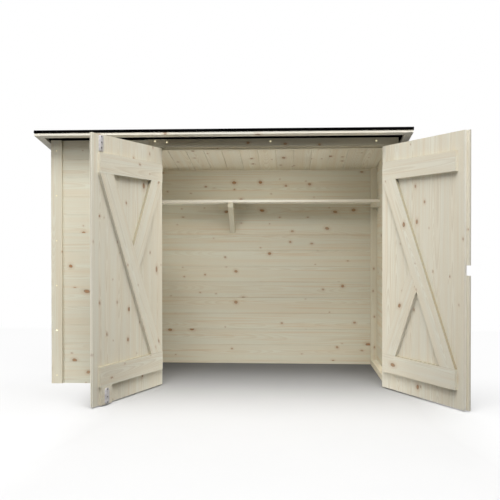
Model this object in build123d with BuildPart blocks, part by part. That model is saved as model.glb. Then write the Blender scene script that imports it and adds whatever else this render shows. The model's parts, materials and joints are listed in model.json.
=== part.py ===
from build123d import *
import os
from math import radians, tan

os.makedirs("parts", exist_ok=True)

# Driving dimensions, in millimetres and degrees.
# Overall
shed_width = 2350
shed_depth = 900
ceiling_at_back = 1544
roof_pitch = 9.1

# Timber sections
trim_width = 75
trim_thickness = 18
wall_thickness = 18
batten = 45
arris = 2

# Doorway
front_panel_width = 748
pier_width = 90
header_height = 73.4
lintel_reveal = 13

# Roof
side_overhang = 82
front_overhang = 90
back_overhang = 62
roof_board_thickness = 16
felt_thickness = 3
lath_width = 52
lath_thickness = 18

# Door leaves
leaf_thickness = 16
leaf_bottom = 8
head_gap = 10
leaf_proud = 3
side_gap = 5
meeting_gap = 10
left_open_angle = 112
right_open_angle = 120

# Ledges and braces on the inner faces of the leaves
ledge_width = 119
ledge_thickness = 18
ledge_hinge_inset = 25
ledge_free_inset = 54
bottom_ledge_height = 115

# Cover strip over the meeting edge
strip_width = 65
strip_thickness = 16
strip_lap = 20
strip_clearance = 5
notch_height = 58
notch_bottom = 774
notch_undercut = 16

# Bolts of the left leaf
bolt_plate_width = 44
bolt_plate_length = 96
bolt_plate_thickness = 2
bolt_plate_corner = 5
bolt_hole_inset = 7
bolt_rod_diameter = 10
bolt_rod_clearance = 0.5
bolt_guide_wall = 2
bolt_guide_length = 14
bolt_guide_inset = 8
bolt_knob_diameter = 9
bolt_knob_height = 8
bolt_top_gap = 7
bolt_ledge_gap = 7
top_bolt_inset = 62
block_width = 100
block_inset = 62

# Strap hinges
strap_length = 300
strap_width = 36
strap_tip_width = 20
strap_thickness = 2.5
strap_holes = 4
strap_first_hole = 42
knuckle_radius = 5
hinge_plate_width = 40
hinge_plate_height = 110
hinge_plate_thickness = 3
hinge_plate_corner = 5
hinge_hole_inset = 11
screw_hole_diameter = 5
pin_diameter = 5
pin_clearance = 0.05
knuckle_gap = 1

# Shelf
shelf_top = 1293
shelf_thickness = 20
shelf_depth = 225
post_clearance = 1
cleat_height = 36
wall_cleat_length = 215
arm_width = 40
arm_height = 38
strut_thickness = 36
strut_setback = 28
arm_setback = 3

# Reference lines: X across, Y from front to back, Z up, origin under the middle of the back wall
left = -shed_width / 2
right = shed_width / 2
back_wall_outer = wall_thickness / 2
back_wall_inner = -wall_thickness / 2
back = back_wall_outer + trim_thickness
front = back - shed_depth
cladding_front = front + trim_thickness
cladding_inner = cladding_front + wall_thickness
frame_inner = cladding_inner + batten
left_wall_outer = left + trim_thickness
left_wall_inner = left_wall_outer + wall_thickness
right_wall_outer = right - trim_thickness
right_wall_inner = right_wall_outer - wall_thickness
left_frame_inner = left_wall_inner + batten
right_frame_inner = right_wall_inner - batten
jamb_left = left + front_panel_width
jamb_right = right - pier_width
back_post_front = back_wall_inner - batten
slope = tan(radians(roof_pitch))


def roof_underside(y):
    """Height of the underside of the roof boards at a depth y."""
    return ceiling_at_back + (back_wall_inner - y) * slope


header_bottom = roof_underside(front) - header_height
lintel_bottom = header_bottom - lintel_reveal
leaf_top = header_bottom - head_gap


def box(x, y, z):
    """A straight piece of timber between two limits along each axis."""
    with BuildPart() as piece:
        with BuildSketch(Plane.XY.offset(z[0])):
            with Locations(((x[0] + x[1]) / 2, (y[0] + y[1]) / 2)):
                Rectangle(x[1] - x[0], y[1] - y[0])
        extrude(amount=z[1] - z[0])
    return piece


def roofed(x, y, foot=0):
    """A wall, post or board from its foot up to the sloping underside of the roof."""
    with BuildPart() as piece:
        with BuildSketch(Plane.YZ.offset(x[0])):
            with BuildLine():
                Polyline(
                    (y[0], foot),
                    (y[1], foot),
                    (y[1], roof_underside(y[1])),
                    (y[0], roof_underside(y[0])),
                    close=True,
                )
            make_face()
        extrude(amount=x[1] - x[0])
    return piece


def sloping(x, y, low, high):
    """A layer that follows the roof, between two heights measured from its underside."""
    with BuildPart() as piece:
        with BuildSketch(Plane.YZ.offset(x[0])):
            with BuildLine():
                Polyline(
                    (y[0], roof_underside(y[0]) + low),
                    (y[1], roof_underside(y[1]) + low),
                    (y[1], roof_underside(y[1]) + high),
                    (y[0], roof_underside(y[0]) + high),
                    close=True,
                )
            make_face()
        extrude(amount=x[1] - x[0])
    return piece


def pair(first, second):
    """Two like pieces that share a node without touching."""
    with BuildPart() as both:
        add(first.part)
        add(second.part)
    return both


def eased(piece, along):
    """A planed timber without the sharp arrises that run along it."""
    with BuildPart() as timber:
        add(piece.part)
        chamfer(timber.edges().filter_by(along), arris)
    return timber


def finish(piece, name):
    """Label a finished piece and write its file."""
    piece.part.label = name
    export_step(piece.part, f"parts/{name}.step")


# Walls: plain slabs, split beside and over the doorway
finish(roofed((left_wall_inner, right_wall_inner), (back_wall_inner, back_wall_outer)), "back_wall")
finish(roofed((left_wall_outer, left_wall_inner), (cladding_front, back_wall_outer)), "left_wall")
finish(roofed((right_wall_inner, right_wall_outer), (cladding_front, back_wall_outer)), "right_wall")
cladding = (cladding_front, cladding_inner)
finish(roofed((left_wall_inner, jamb_left), cladding), "front_panel")
finish(roofed((jamb_right, right_wall_inner), cladding), "front_pier")
finish(roofed((jamb_left, jamb_right), cladding, header_bottom), "front_over_door")

# Frame of battens inside the walls
front_frame = (cladding_inner, frame_inner)
back_frame = (back_post_front, back_wall_inner)
left_frame = (left_wall_inner, left_frame_inner)
right_frame = (right_frame_inner, right_wall_inner)
finish(roofed(left_frame, front_frame), "front_post_left")
finish(roofed((jamb_right, right_wall_inner), front_frame), "front_post_right")
finish(roofed(left_frame, back_frame), "back_post_left")
finish(roofed(right_frame, back_frame), "back_post_right")
finish(roofed((jamb_left - batten, jamb_left), front_frame), "door_post")
finish(roofed((jamb_left, jamb_right), front_frame, lintel_bottom), "lintel")
side_run = (frame_inner, back_post_front)
finish(box(left_frame, side_run, (0, batten)), "bottom_rail_left")
finish(box(right_frame, side_run, (0, batten)), "bottom_rail_right")
finish(box((left_frame_inner, jamb_left - batten), front_frame, (0, batten)), "bottom_rail_front")

# Trims that cover the corners and frame the doorway
trim_front = (front, cladding_front)
trim_back = (back_wall_outer, back)
header_left = jamb_left - trim_width
finish(eased(roofed((left, left + trim_width), trim_front), Axis.Z), "front_trim_left")
finish(eased(box((jamb_right, right), trim_front, (0, header_bottom)), Axis.Z), "front_trim_right")
finish(eased(box((header_left, jamb_left), trim_front, (0, header_bottom)), Axis.Z), "jamb_trim")
finish(roofed((header_left, right), trim_front, header_bottom), "header_board")
side_front = (cladding_front, cladding_front + trim_width - trim_thickness)
side_back = (back_wall_outer - trim_width + trim_thickness, back_wall_outer)
left_skin = (left, left_wall_outer)
right_skin = (right_wall_outer, right)
side_trims_left = pair(roofed(left_skin, side_front), roofed(left_skin, side_back))
side_trims_right = pair(roofed(right_skin, side_front), roofed(right_skin, side_back))
finish(eased(side_trims_left, Axis.Z), "side_trims_left")
finish(eased(side_trims_right, Axis.Z), "side_trims_right")
back_trims = pair(
    roofed((left, left + trim_width), trim_back),
    roofed((right - trim_width, right), trim_back),
)
finish(eased(back_trims, Axis.Z), "back_trims")

# Roof: boards, felt turned down over their edges, and laths under all four edges
roof_left = left - side_overhang
roof_right = right + side_overhang
roof_front = front - front_overhang
roof_back = back + back_overhang
roof_x = (roof_left, roof_right)
roof_y = (roof_front, roof_back)
roof_boards = sloping(roof_x, roof_y, 0, roof_board_thickness)
finish(roof_boards, "roof_boards")
felt_x = (roof_left - felt_thickness, roof_right + felt_thickness)
felt_y = (roof_front - felt_thickness, roof_back + felt_thickness)
with BuildPart() as roof_felt:
    add(sloping(felt_x, felt_y, 0, roof_board_thickness + felt_thickness).part)
    add(roof_boards.part, mode=Mode.SUBTRACT)
finish(roof_felt, "roof_felt")
front_lath = (roof_front, roof_front + lath_width)
back_lath = (roof_back - lath_width, roof_back)
between_laths = (front_lath[1], back_lath[0])
finish(eased(sloping(roof_x, front_lath, -lath_thickness, 0), Axis.X), "roof_lath_front")
finish(eased(sloping(roof_x, back_lath, -lath_thickness, 0), Axis.X), "roof_lath_back")
down_the_roof = Axis((0, 0, 0), (0, 1, -slope))
left_lath = sloping((roof_left, roof_left + lath_width), between_laths, -lath_thickness, 0)
right_lath = sloping((roof_right - lath_width, roof_right), between_laths, -lath_thickness, 0)
finish(eased(left_lath, down_the_roof), "roof_lath_left")
finish(eased(right_lath, down_the_roof), "roof_lath_right")

# Shelf along the back wall, on two end cleats and a bracket in the middle
shelf_front = back_wall_inner - shelf_depth
shelf_bottom = shelf_top - shelf_thickness
post_notch = batten + post_clearance
with BuildPart() as shelf:
    with BuildSketch(Plane.XY.offset(shelf_bottom)):
        with Locations((0, (shelf_front + back_wall_inner) / 2)):
            Rectangle(right_wall_inner - left_wall_inner, shelf_depth)
        with Locations(
            (left_wall_inner + post_notch / 2, back_wall_inner - post_notch / 2),
            (right_wall_inner - post_notch / 2, back_wall_inner - post_notch / 2),
        ):
            Rectangle(post_notch, post_notch, mode=Mode.SUBTRACT)
    extrude(amount=shelf_thickness)
    chamfer(shelf.faces().sort_by(Axis.Y)[0].edges().filter_by(Axis.X), arris)
finish(shelf, "shelf")
arm_front = shelf_front + arm_setback
cleat_z = (shelf_bottom - cleat_height, shelf_bottom)
cleat_y = (arm_front, back_post_front)
finish(pair(box(left_frame, cleat_y, cleat_z), box(right_frame, cleat_y, cleat_z)), "shelf_end_cleats")
wall_cleat_x = (-wall_cleat_length / 2, wall_cleat_length / 2)
finish(box(wall_cleat_x, back_frame, (shelf_bottom - batten, shelf_bottom)), "shelf_wall_cleat")
arm_x = (-arm_width / 2, arm_width / 2)
arm_bottom = shelf_bottom - arm_height
finish(box(arm_x, (arm_front, back_post_front), (arm_bottom, shelf_bottom)), "shelf_arm")

# The strut runs at 45 degrees from the arm down to the back wall
strut_toe = arm_front + strut_setback
strut_cut = strut_thickness * 2**0.5
strut_drop = back_wall_inner - strut_toe
with BuildPart() as shelf_strut:
    with BuildSketch(Plane.YZ.offset(-arm_width / 2)):
        with BuildLine():
            Polyline(
                (strut_toe, arm_bottom),
                (strut_toe + strut_cut, arm_bottom),
                (back_wall_inner, arm_bottom - strut_drop + strut_cut),
                (back_wall_inner, arm_bottom - strut_drop),
                close=True,
            )
        make_face()
    extrude(amount=arm_width)
finish(shelf_strut, "shelf_strut")

# Door leaves, drawn closed and turned open about their pivots
leaf_width = (jamb_right - jamb_left - 2 * side_gap - meeting_gap) / 2
leaf_outer = front - leaf_proud
leaf_inner = leaf_outer + leaf_thickness
ledge_inner = leaf_inner + ledge_thickness
pivot_y = leaf_outer - knuckle_radius
pivot_offset = side_gap / 2
left_pivot = (jamb_left + pivot_offset, pivot_y)
right_pivot = (jamb_right - pivot_offset, pivot_y)
leaf_start = side_gap - pivot_offset
ledge_start = leaf_start + ledge_hinge_inset
ledge_end = leaf_start + leaf_width - ledge_free_inset
top_bolt_foot = leaf_top - bolt_top_gap - bolt_plate_length
top_ledge_top = top_bolt_foot - bolt_ledge_gap
top_ledge_z = (top_ledge_top - ledge_width, top_ledge_top)
bottom_ledge_z = (bottom_ledge_height, bottom_ledge_height + ledge_width)
brace_foot = bottom_ledge_z[1]
brace_head = top_ledge_z[0]

# A brace runs from ledge to ledge with level cuts, its outer corners at the ends of the ledges
brace_length = ledge_end - ledge_start
brace_rise = brace_head - brace_foot
brace_diagonal = (brace_rise**2 + brace_length**2 - ledge_width**2) ** 0.5
brace_lean = (brace_length * brace_rise - ledge_width * brace_diagonal) / (brace_rise**2 - ledge_width**2)
brace_run = brace_rise * brace_lean
brace_cut = brace_length - brace_run


class Leaf:
    """Frame of one door leaf: s runs from its pivot to its free edge, y and z as in the shed."""

    def __init__(self, pivot, hand, angle):
        self.pivot = pivot
        self.hand = hand
        self.angle = angle

    def x(self, s):
        """Shed X of a distance s from the pivot, with the leaf closed."""
        return self.pivot[0] + self.hand * s

    def span(self, s0, s1):
        """Limits in X, low end first, of a stretch of the closed leaf."""
        return tuple(sorted((self.x(s0), self.x(s1))))

    def open(self, piece):
        """Turn a piece of the closed leaf to its open place."""
        axis = Axis((*self.pivot, 0), (0, 0, 1))
        with BuildPart() as turned:
            add(piece.part.rotate(axis, -self.hand * self.angle))
        return turned


left_leaf = Leaf(left_pivot, 1, left_open_angle)
right_leaf = Leaf(right_pivot, -1, right_open_angle)


def brace(leaf, corners, cut=None):
    """A sloping board on the ledges' layer; corners and cut are outlines in s and z."""
    with BuildPart() as piece:
        with BuildSketch(Plane.XZ.offset(-leaf_inner)):
            with BuildLine():
                Polyline(*[(leaf.x(s), z) for s, z in corners], close=True)
            make_face()
            if cut:
                with BuildLine():
                    Polyline(*[(leaf.x(s), z) for s, z in cut], close=True)
                make_face(mode=Mode.SUBTRACT)
        extrude(amount=-ledge_thickness)
        chamfer(piece.faces().sort_by(Axis.Y)[-1].edges().filter_by(Axis.X, reverse=True), arris)
    return piece


# The two diagonals of a leaf, and what lies beyond the hinge-side edge of each
outward = [
    (ledge_end - brace_cut, brace_head),
    (ledge_end, brace_head),
    (ledge_start + brace_cut, brace_foot),
    (ledge_start, brace_foot),
]
inward = [
    (ledge_start, brace_head),
    (ledge_start + brace_cut, brace_head),
    (ledge_end, brace_foot),
    (ledge_end - brace_cut, brace_foot),
]
beyond_outward = [outward[0], outward[3], (ledge_end, brace_foot), outward[1]]
beyond_inward = [inward[0], inward[3], inward[2], (ledge_end, brace_head)]


def boards(leaf):
    """The board face of a leaf."""
    return box(
        leaf.span(leaf_start, leaf_start + leaf_width),
        (leaf_outer, leaf_inner),
        (leaf_bottom, leaf_top),
    )


def ledges(leaf):
    """The two cross boards on the inner face of a leaf."""
    x = leaf.span(ledge_start, ledge_end)
    y = (leaf_inner, ledge_inner)
    return eased(pair(box(x, y, bottom_ledge_z), box(x, y, top_ledge_z)), Axis.X)


def strap(leaf, height):
    """A tapered strap on the outer face of a leaf, with the knuckle that turns on the pin."""
    hole_pitch = (strap_length - strap_first_hole) / (strap_holes - 1)
    holes = [(leaf.x(strap_first_hole + i * hole_pitch), height) for i in range(strap_holes)]
    with BuildPart() as piece:
        with BuildSketch(Plane.XZ.offset(-leaf_outer)):
            with BuildLine():
                Polyline(
                    (leaf.x(0), height - strap_width / 2),
                    (leaf.x(strap_length), height - strap_tip_width / 2),
                    (leaf.x(strap_length), height + strap_tip_width / 2),
                    (leaf.x(0), height + strap_width / 2),
                    close=True,
                )
            make_face()
            with Locations((leaf.x(strap_length), height)):
                Circle(strap_tip_width / 2)
            with Locations(*holes):
                Circle(screw_hole_diameter / 2, mode=Mode.SUBTRACT)
        extrude(amount=strap_thickness)
        with BuildSketch(Plane.XY.offset(height - strap_width / 2)):
            with Locations(leaf.pivot):
                Circle(knuckle_radius)
        extrude(amount=strap_width)
        with BuildSketch(Plane.XY.offset(height - strap_width / 2)):
            with Locations(leaf.pivot):
                Circle(pin_diameter / 2 + pin_clearance)
        extrude(amount=strap_width, mode=Mode.SUBTRACT)
    return piece


def hinge_plate(leaf, height):
    """The plate on the trim beside a leaf, with two knuckles and the pin."""
    web_x = leaf.x(-pivot_offset - hinge_plate_thickness / 2)
    web_y = (pivot_y + front) / 2
    foot = height - hinge_plate_height / 2
    knuckle = (hinge_plate_height - strap_width) / 2 - knuckle_gap
    across = hinge_plate_width - 2 * hinge_hole_inset
    along = hinge_plate_height - 2 * hinge_hole_inset
    with BuildPart() as piece:
        with BuildSketch(Plane.XZ.offset(-front)):
            with Locations((leaf.x(-pivot_offset - hinge_plate_width / 2), height)):
                plate = Rectangle(hinge_plate_width, hinge_plate_height)
                fillet(plate.vertices().sort_by(Axis.X, reverse=leaf.hand < 0)[:2], hinge_plate_corner)
                with GridLocations(across, along, 2, 2):
                    Circle(screw_hole_diameter / 2, mode=Mode.SUBTRACT)
        extrude(amount=hinge_plate_thickness)
        with BuildSketch(Plane.XY.offset(foot)):
            with Locations(leaf.pivot):
                Circle(pin_diameter / 2)
        extrude(amount=hinge_plate_height)
        for start in (foot, foot + hinge_plate_height - knuckle):
            with BuildSketch(Plane.XY.offset(start)):
                with Locations(leaf.pivot):
                    Circle(knuckle_radius)
                with Locations((web_x, web_y)):
                    Rectangle(hinge_plate_thickness, front - pivot_y)
            extrude(amount=knuckle)
    return piece


def bolt(leaf, s, face, foot):
    """A bolt on a face of the leaf: its plate, two guides, and the rod with its knob in them."""
    x = leaf.x(s)
    middle = foot + bolt_plate_length / 2
    rod_y = face + bolt_plate_thickness + bolt_rod_clearance + bolt_rod_diameter / 2
    guide_width = bolt_rod_diameter + 2 * bolt_guide_wall
    low_guide = foot + bolt_guide_inset
    high_guide = foot + bolt_plate_length - bolt_guide_inset - bolt_guide_length
    across = bolt_plate_width - 2 * bolt_hole_inset
    along = bolt_plate_length - 2 * bolt_hole_inset
    with BuildPart() as piece:
        with BuildSketch(Plane.XZ.offset(-face)):
            with Locations((x, middle)):
                RectangleRounded(bolt_plate_width, bolt_plate_length, bolt_plate_corner)
                with GridLocations(across, along, 2, 2):
                    Circle(screw_hole_diameter / 2, mode=Mode.SUBTRACT)
        extrude(amount=-bolt_plate_thickness)
        for start in (low_guide, high_guide):
            with BuildSketch(Plane.XY.offset(start)):
                with Locations((x, rod_y)):
                    Circle(guide_width / 2)
                with Locations((x, (face + rod_y) / 2)):
                    Rectangle(guide_width, rod_y - face)
            extrude(amount=bolt_guide_length)
        with BuildSketch(Plane.XY.offset(foot)):
            with Locations((x, rod_y)):
                Circle(bolt_rod_diameter / 2)
        extrude(amount=bolt_plate_length)
        with BuildSketch(Plane.XZ.offset(-rod_y)):
            with Locations((x, middle)):
                Circle(bolt_knob_diameter / 2)
        extrude(amount=-bolt_rod_diameter / 2 - bolt_knob_height)
    return piece


top_strap = sum(top_ledge_z) / 2
bottom_strap = sum(bottom_ledge_z) / 2
for side, leaf, long_brace, short_brace, beyond in (
    ("left", left_leaf, outward, inward, beyond_outward),
    ("right", right_leaf, inward, outward, beyond_inward),
):
    finish(leaf.open(boards(leaf)), f"{side}_door_boards")
    finish(leaf.open(ledges(leaf)), f"{side}_door_ledges")
    finish(leaf.open(brace(leaf, long_brace)), f"{side}_door_long_brace")
    finish(leaf.open(brace(leaf, short_brace, beyond)), f"{side}_door_short_brace")
    finish(leaf.open(pair(strap(leaf, top_strap), strap(leaf, bottom_strap))), f"{side}_door_straps")
    finish(hinge_plate(leaf, top_strap), f"hinge_plate_{side}_top")
    finish(hinge_plate(leaf, bottom_strap), f"hinge_plate_{side}_bottom")

# Left leaf: bolts at the top and, on a block under the ledge, at the bottom
leaf_end = leaf_start + leaf_width
block_end = leaf_end - block_inset
block_start = block_end - block_width
block_x = left_leaf.span(block_start, block_end)
block = box(block_x, (leaf_inner, ledge_inner), (leaf_bottom, bottom_ledge_z[0]))
finish(left_leaf.open(block), "left_door_block")
top_bolt_s = leaf_end - top_bolt_inset - bolt_plate_width / 2
finish(left_leaf.open(bolt(left_leaf, top_bolt_s, leaf_inner, top_bolt_foot)), "top_bolt")
bottom_bolt_s = (block_start + block_end) / 2
finish(left_leaf.open(bolt(left_leaf, bottom_bolt_s, ledge_inner, leaf_bottom)), "bottom_bolt")

# Right leaf: a strip on its outer face that laps over the left leaf, notched for a latch
strip_x = right_leaf.span(leaf_end + strip_lap - strip_width, leaf_end + strip_lap)
lap_x = right_leaf.span(leaf_end, leaf_end + strip_lap)
notch_x = right_leaf.span(leaf_end - notch_undercut, leaf_end + strip_lap)
strip_y = (leaf_outer - strip_thickness, leaf_outer)
with BuildPart() as cover_strip:
    add(box(strip_x, strip_y, (leaf_bottom, leaf_top)).part)
    chamfer(cover_strip.faces().sort_by(Axis.Y)[0].edges().filter_by(Axis.Z), arris)
    add(
        box(lap_x, (leaf_outer - strip_clearance, leaf_outer), (leaf_bottom, leaf_top)).part,
        mode=Mode.SUBTRACT,
    )
    add(box(notch_x, strip_y, (notch_bottom, notch_bottom + notch_height)).part, mode=Mode.SUBTRACT)
finish(right_leaf.open(cover_strip), "cover_strip")
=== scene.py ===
"""Looks of a lean-to bicycle shelter: spruce boards, a felt roof and ledged and braced doors."""

import json
import logging
import math
import random
from collections.abc import Callable, Iterable, Iterator
from contextlib import contextmanager
from dataclasses import dataclass, field
from enum import Enum

import bmesh
import bpy
import numpy as np
from mathutils import Matrix, Vector

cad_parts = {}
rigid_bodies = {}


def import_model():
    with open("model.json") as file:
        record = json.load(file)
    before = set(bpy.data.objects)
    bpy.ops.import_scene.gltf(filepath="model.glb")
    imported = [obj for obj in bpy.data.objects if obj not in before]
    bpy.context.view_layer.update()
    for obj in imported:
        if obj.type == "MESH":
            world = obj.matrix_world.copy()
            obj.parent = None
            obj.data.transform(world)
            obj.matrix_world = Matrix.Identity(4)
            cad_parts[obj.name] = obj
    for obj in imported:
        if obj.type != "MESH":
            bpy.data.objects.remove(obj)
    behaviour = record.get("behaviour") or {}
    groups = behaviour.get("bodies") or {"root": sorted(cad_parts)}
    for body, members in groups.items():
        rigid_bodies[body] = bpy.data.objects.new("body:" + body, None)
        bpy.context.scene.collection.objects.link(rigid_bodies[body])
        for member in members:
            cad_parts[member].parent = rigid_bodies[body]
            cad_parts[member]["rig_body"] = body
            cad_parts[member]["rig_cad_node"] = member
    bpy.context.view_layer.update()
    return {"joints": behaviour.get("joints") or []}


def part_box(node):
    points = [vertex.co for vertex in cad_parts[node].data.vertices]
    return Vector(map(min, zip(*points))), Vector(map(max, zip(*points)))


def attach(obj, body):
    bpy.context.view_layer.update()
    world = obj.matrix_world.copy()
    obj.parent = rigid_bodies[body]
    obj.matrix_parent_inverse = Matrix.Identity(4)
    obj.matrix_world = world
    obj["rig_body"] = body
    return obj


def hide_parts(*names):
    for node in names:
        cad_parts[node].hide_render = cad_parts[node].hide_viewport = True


log = logging.getLogger("shelter")

MM = 0.001
EASE = 1.5 * MM
WELD = 0.001 * MM
SMOOTH_ANGLE = 0.6
PLATE_RIM = 0.4 * MM
# Share of a unit direction from which an edge or a face counts as lying along it.
ALONG = 0.9
# Share from which a face counts as turned that way at all.
TURNED = 0.1
# Share of a length from which a point counts as at its end.
NEAR = 0.99
# Greatest start of a timber in its log, in metres, and greatest number of a board.
LOG = 30
BOARDS = 90
WHOLE = Matrix.Identity(4)
Object = bpy.types.Object
Material = bpy.types.Material
Socket = bpy.types.NodeSocket
Pair = tuple[float, float]
Triple = tuple[float, float, float]
Colour = tuple[float, float, float, float]


class Way(Enum):
    """A direction of the shed's frame, by its index."""

    ACROSS = 0
    DEEP = 1
    UP = 2

    @property
    def unit(self) -> Vector:
        """Unit vector of the direction."""
        return Vector([float(i == self.value) for i in range(3)])


@dataclass(frozen=True)
class Span:
    """A box in the shed's frame.

    Attributes:
        lo: its lowest corner.
        hi: its highest corner.
    """

    lo: Vector
    hi: Vector

    @classmethod
    def of(cls, node: str) -> "Span":
        """Box of a CAD node."""
        return cls(*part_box(node))

    @property
    def size(self) -> Vector:
        """Lengths of its sides."""
        return self.hi - self.lo

    @property
    def middle(self) -> Vector:
        """Its centre."""
        return (self.lo + self.hi) / 2


def solids_of(node: str, turn: Matrix = WHOLE) -> list[Span]:
    """Find the boxes of the separate solids of a CAD node.

    Args:
        node: name of the node.
        turn: turn that brings a leaf to its closed place, where its boxes are true.

    Returns:
        One box for each solid, from the lowest X up.
    """
    shape = bmesh.new()
    shape.from_mesh(bpy.data.objects[node].data)
    bmesh.ops.remove_doubles(shape, verts=shape.verts, dist=WELD)
    shape.transform(turn)
    waiting = set(shape.verts)
    spans = []
    while waiting:
        island = [waiting.pop()]
        for point in island:
            for edge in point.link_edges:
                other = edge.other_vert(point)
                if other in waiting:
                    waiting.remove(other)
                    island.append(other)
        spots = np.array([point.co for point in island])
        spans.append(Span(Vector(spots.min(0)), Vector(spots.max(0))))
    shape.free()
    return sorted(spans, key=lambda span: tuple(span.lo))


def only(*pieces: Object) -> None:
    """Select these pieces and nothing else, with the first one active."""
    bpy.ops.object.select_all(action="DESELECT")
    for piece in pieces:
        piece.select_set(True)
    bpy.context.view_layer.objects.active = pieces[0]


@contextmanager
def editing(piece: Object, mode: str = "EDGE") -> Iterator[bmesh.types.BMesh]:
    """Work on one piece in edit mode, with nothing selected at the start.

    Args:
        piece: the piece to shape.
        mode: what is selected, VERT, EDGE or FACE.

    Returns:
        The mesh under edit, as a context.
    """
    only(piece)
    bpy.ops.object.mode_set(mode="EDIT")
    bpy.ops.mesh.select_mode(type=mode)
    bpy.ops.mesh.select_all(action="DESELECT")
    yield bmesh.from_edit_mesh(piece.data)
    bpy.ops.object.mode_set(mode="OBJECT")


def pick(mesh: bmesh.types.BMesh, kind: str, test: Callable[[Vector, Vector], bool]) -> None:
    """Select points, edges or faces by their place and direction.

    Args:
        mesh: the mesh under edit.
        kind: verts, edges or faces.
        test: says of a middle and a direction or normal whether the element is taken.
    """
    bpy.ops.mesh.select_all(action="DESELECT")
    for element in getattr(mesh, kind):
        if kind == "verts":
            place, lean = element.co, element.normal
        elif kind == "edges":
            ends = [point.co for point in element.verts]
            place, lean = (ends[0] + ends[1]) / 2, (ends[1] - ends[0]).normalized()
        else:
            place, lean = element.calc_center_median(), element.normal
        if test(place, lean):
            element.select_set(True)
    mesh.select_flush_mode()


def saw(piece: Object, point: Vector, normal: Vector) -> None:
    """Cut a piece along a plane and keep the side that the normal points away from.

    Args:
        piece: the piece to cut.
        point: a point of the plane.
        normal: direction of the waste.
    """
    with editing(piece):
        bpy.ops.mesh.select_all(action="SELECT")
        bpy.ops.mesh.bisect(plane_co=point, plane_no=normal, use_fill=True, clear_outer=True)


def settle(piece: Object, place: Matrix = WHOLE) -> Object:
    """Bring a piece to its place and write the place into its mesh.

    Args:
        piece: the piece.
        place: the matrix that takes it there.

    Returns:
        The same piece.
    """
    only(piece)
    piece.matrix_world = place @ piece.matrix_world
    bpy.context.view_layer.update()
    bpy.ops.object.transform_apply(location=True, rotation=True, scale=True)
    return piece


def join(name: str, pieces: list[Object]) -> Object:
    """Make one piece of several, with its faces outwards.

    Args:
        name: name of the new piece.
        pieces: the pieces to join.

    Returns:
        The joined piece.
    """
    only(*pieces)
    if len(pieces) > 1:
        bpy.ops.object.join()
    whole = bpy.context.view_layer.objects.active
    with editing(whole, "FACE"):
        bpy.ops.mesh.select_all(action="SELECT")
        bpy.ops.mesh.normals_make_consistent(inside=False)
    whole.name = whole.data.name = name
    return whole


def twin(piece: Object) -> Object:
    """Copy a piece, with a mesh of its own.

    Args:
        piece: the piece.

    Returns:
        The copy.
    """
    other = piece.copy()
    other.data = piece.data.copy()
    bpy.context.scene.collection.objects.link(other)
    return other


def frame_matrix(run: Vector, across: Vector, corner: Vector) -> Matrix:
    """Place of a timber whose own X, Y and Z run along it, across it and through it."""
    through = run.cross(across)
    return Matrix.Translation(corner) @ Matrix((run, across, through)).transposed().to_4x4()


def bevel(piece: Object, along: Vector, ease: float) -> None:
    """Ease the edges of a piece that run along a direction.

    Args:
        piece: the piece.
        along: the direction.
        ease: size of the eased edges.
    """
    with editing(piece) as mesh:
        pick(mesh, "edges", lambda place, lean: abs(lean.dot(along)) > ALONG)
        bpy.ops.mesh.bevel(offset=ease, segments=2)


def block(size: Iterable[float], ease: float = 0.0) -> Object:
    """A box about its own origin.

    Args:
        size: its lengths.
        ease: size of the eased edges along X, or nothing to leave them sharp.

    Returns:
        The box.
    """
    bpy.ops.mesh.primitive_cube_add(size=1)
    piece = bpy.context.object
    piece.scale = size
    settle(piece)
    if ease:
        bevel(piece, Way.ACROSS.unit, ease)
    return piece


def modify(piece: Object, kind: str, **settings: object) -> None:
    """Add a modifier to a piece and apply it.

    Args:
        piece: the piece.
        kind: type of the modifier.
        settings: its properties.
    """
    only(piece)
    modifier = piece.modifiers.new(kind.lower(), kind)
    for name, value in settings.items():
        setattr(modifier, name, value)
    bpy.ops.object.modifier_apply(modifier=modifier.name)


def grain(piece: Object, rng: random.Random) -> None:
    """Write on each point where it lies in its own log, before the timber is placed.

    Args:
        piece: a timber along its own X.
        rng: source of its stretch of log and of its board number.
    """
    spots = np.empty(len(piece.data.vertices) * 3, np.float32)
    piece.data.vertices.foreach_get("co", spots)
    spots[0::3] += rng.uniform(0, LOG)
    piece.data.attributes.new("grain", "FLOAT_VECTOR", "POINT").data.foreach_set("vector", spots)
    number = np.full(len(piece.data.vertices), rng.uniform(0, BOARDS), np.float32)
    piece.data.attributes.new("board", "FLOAT", "POINT").data.foreach_set("value", number)


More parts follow.
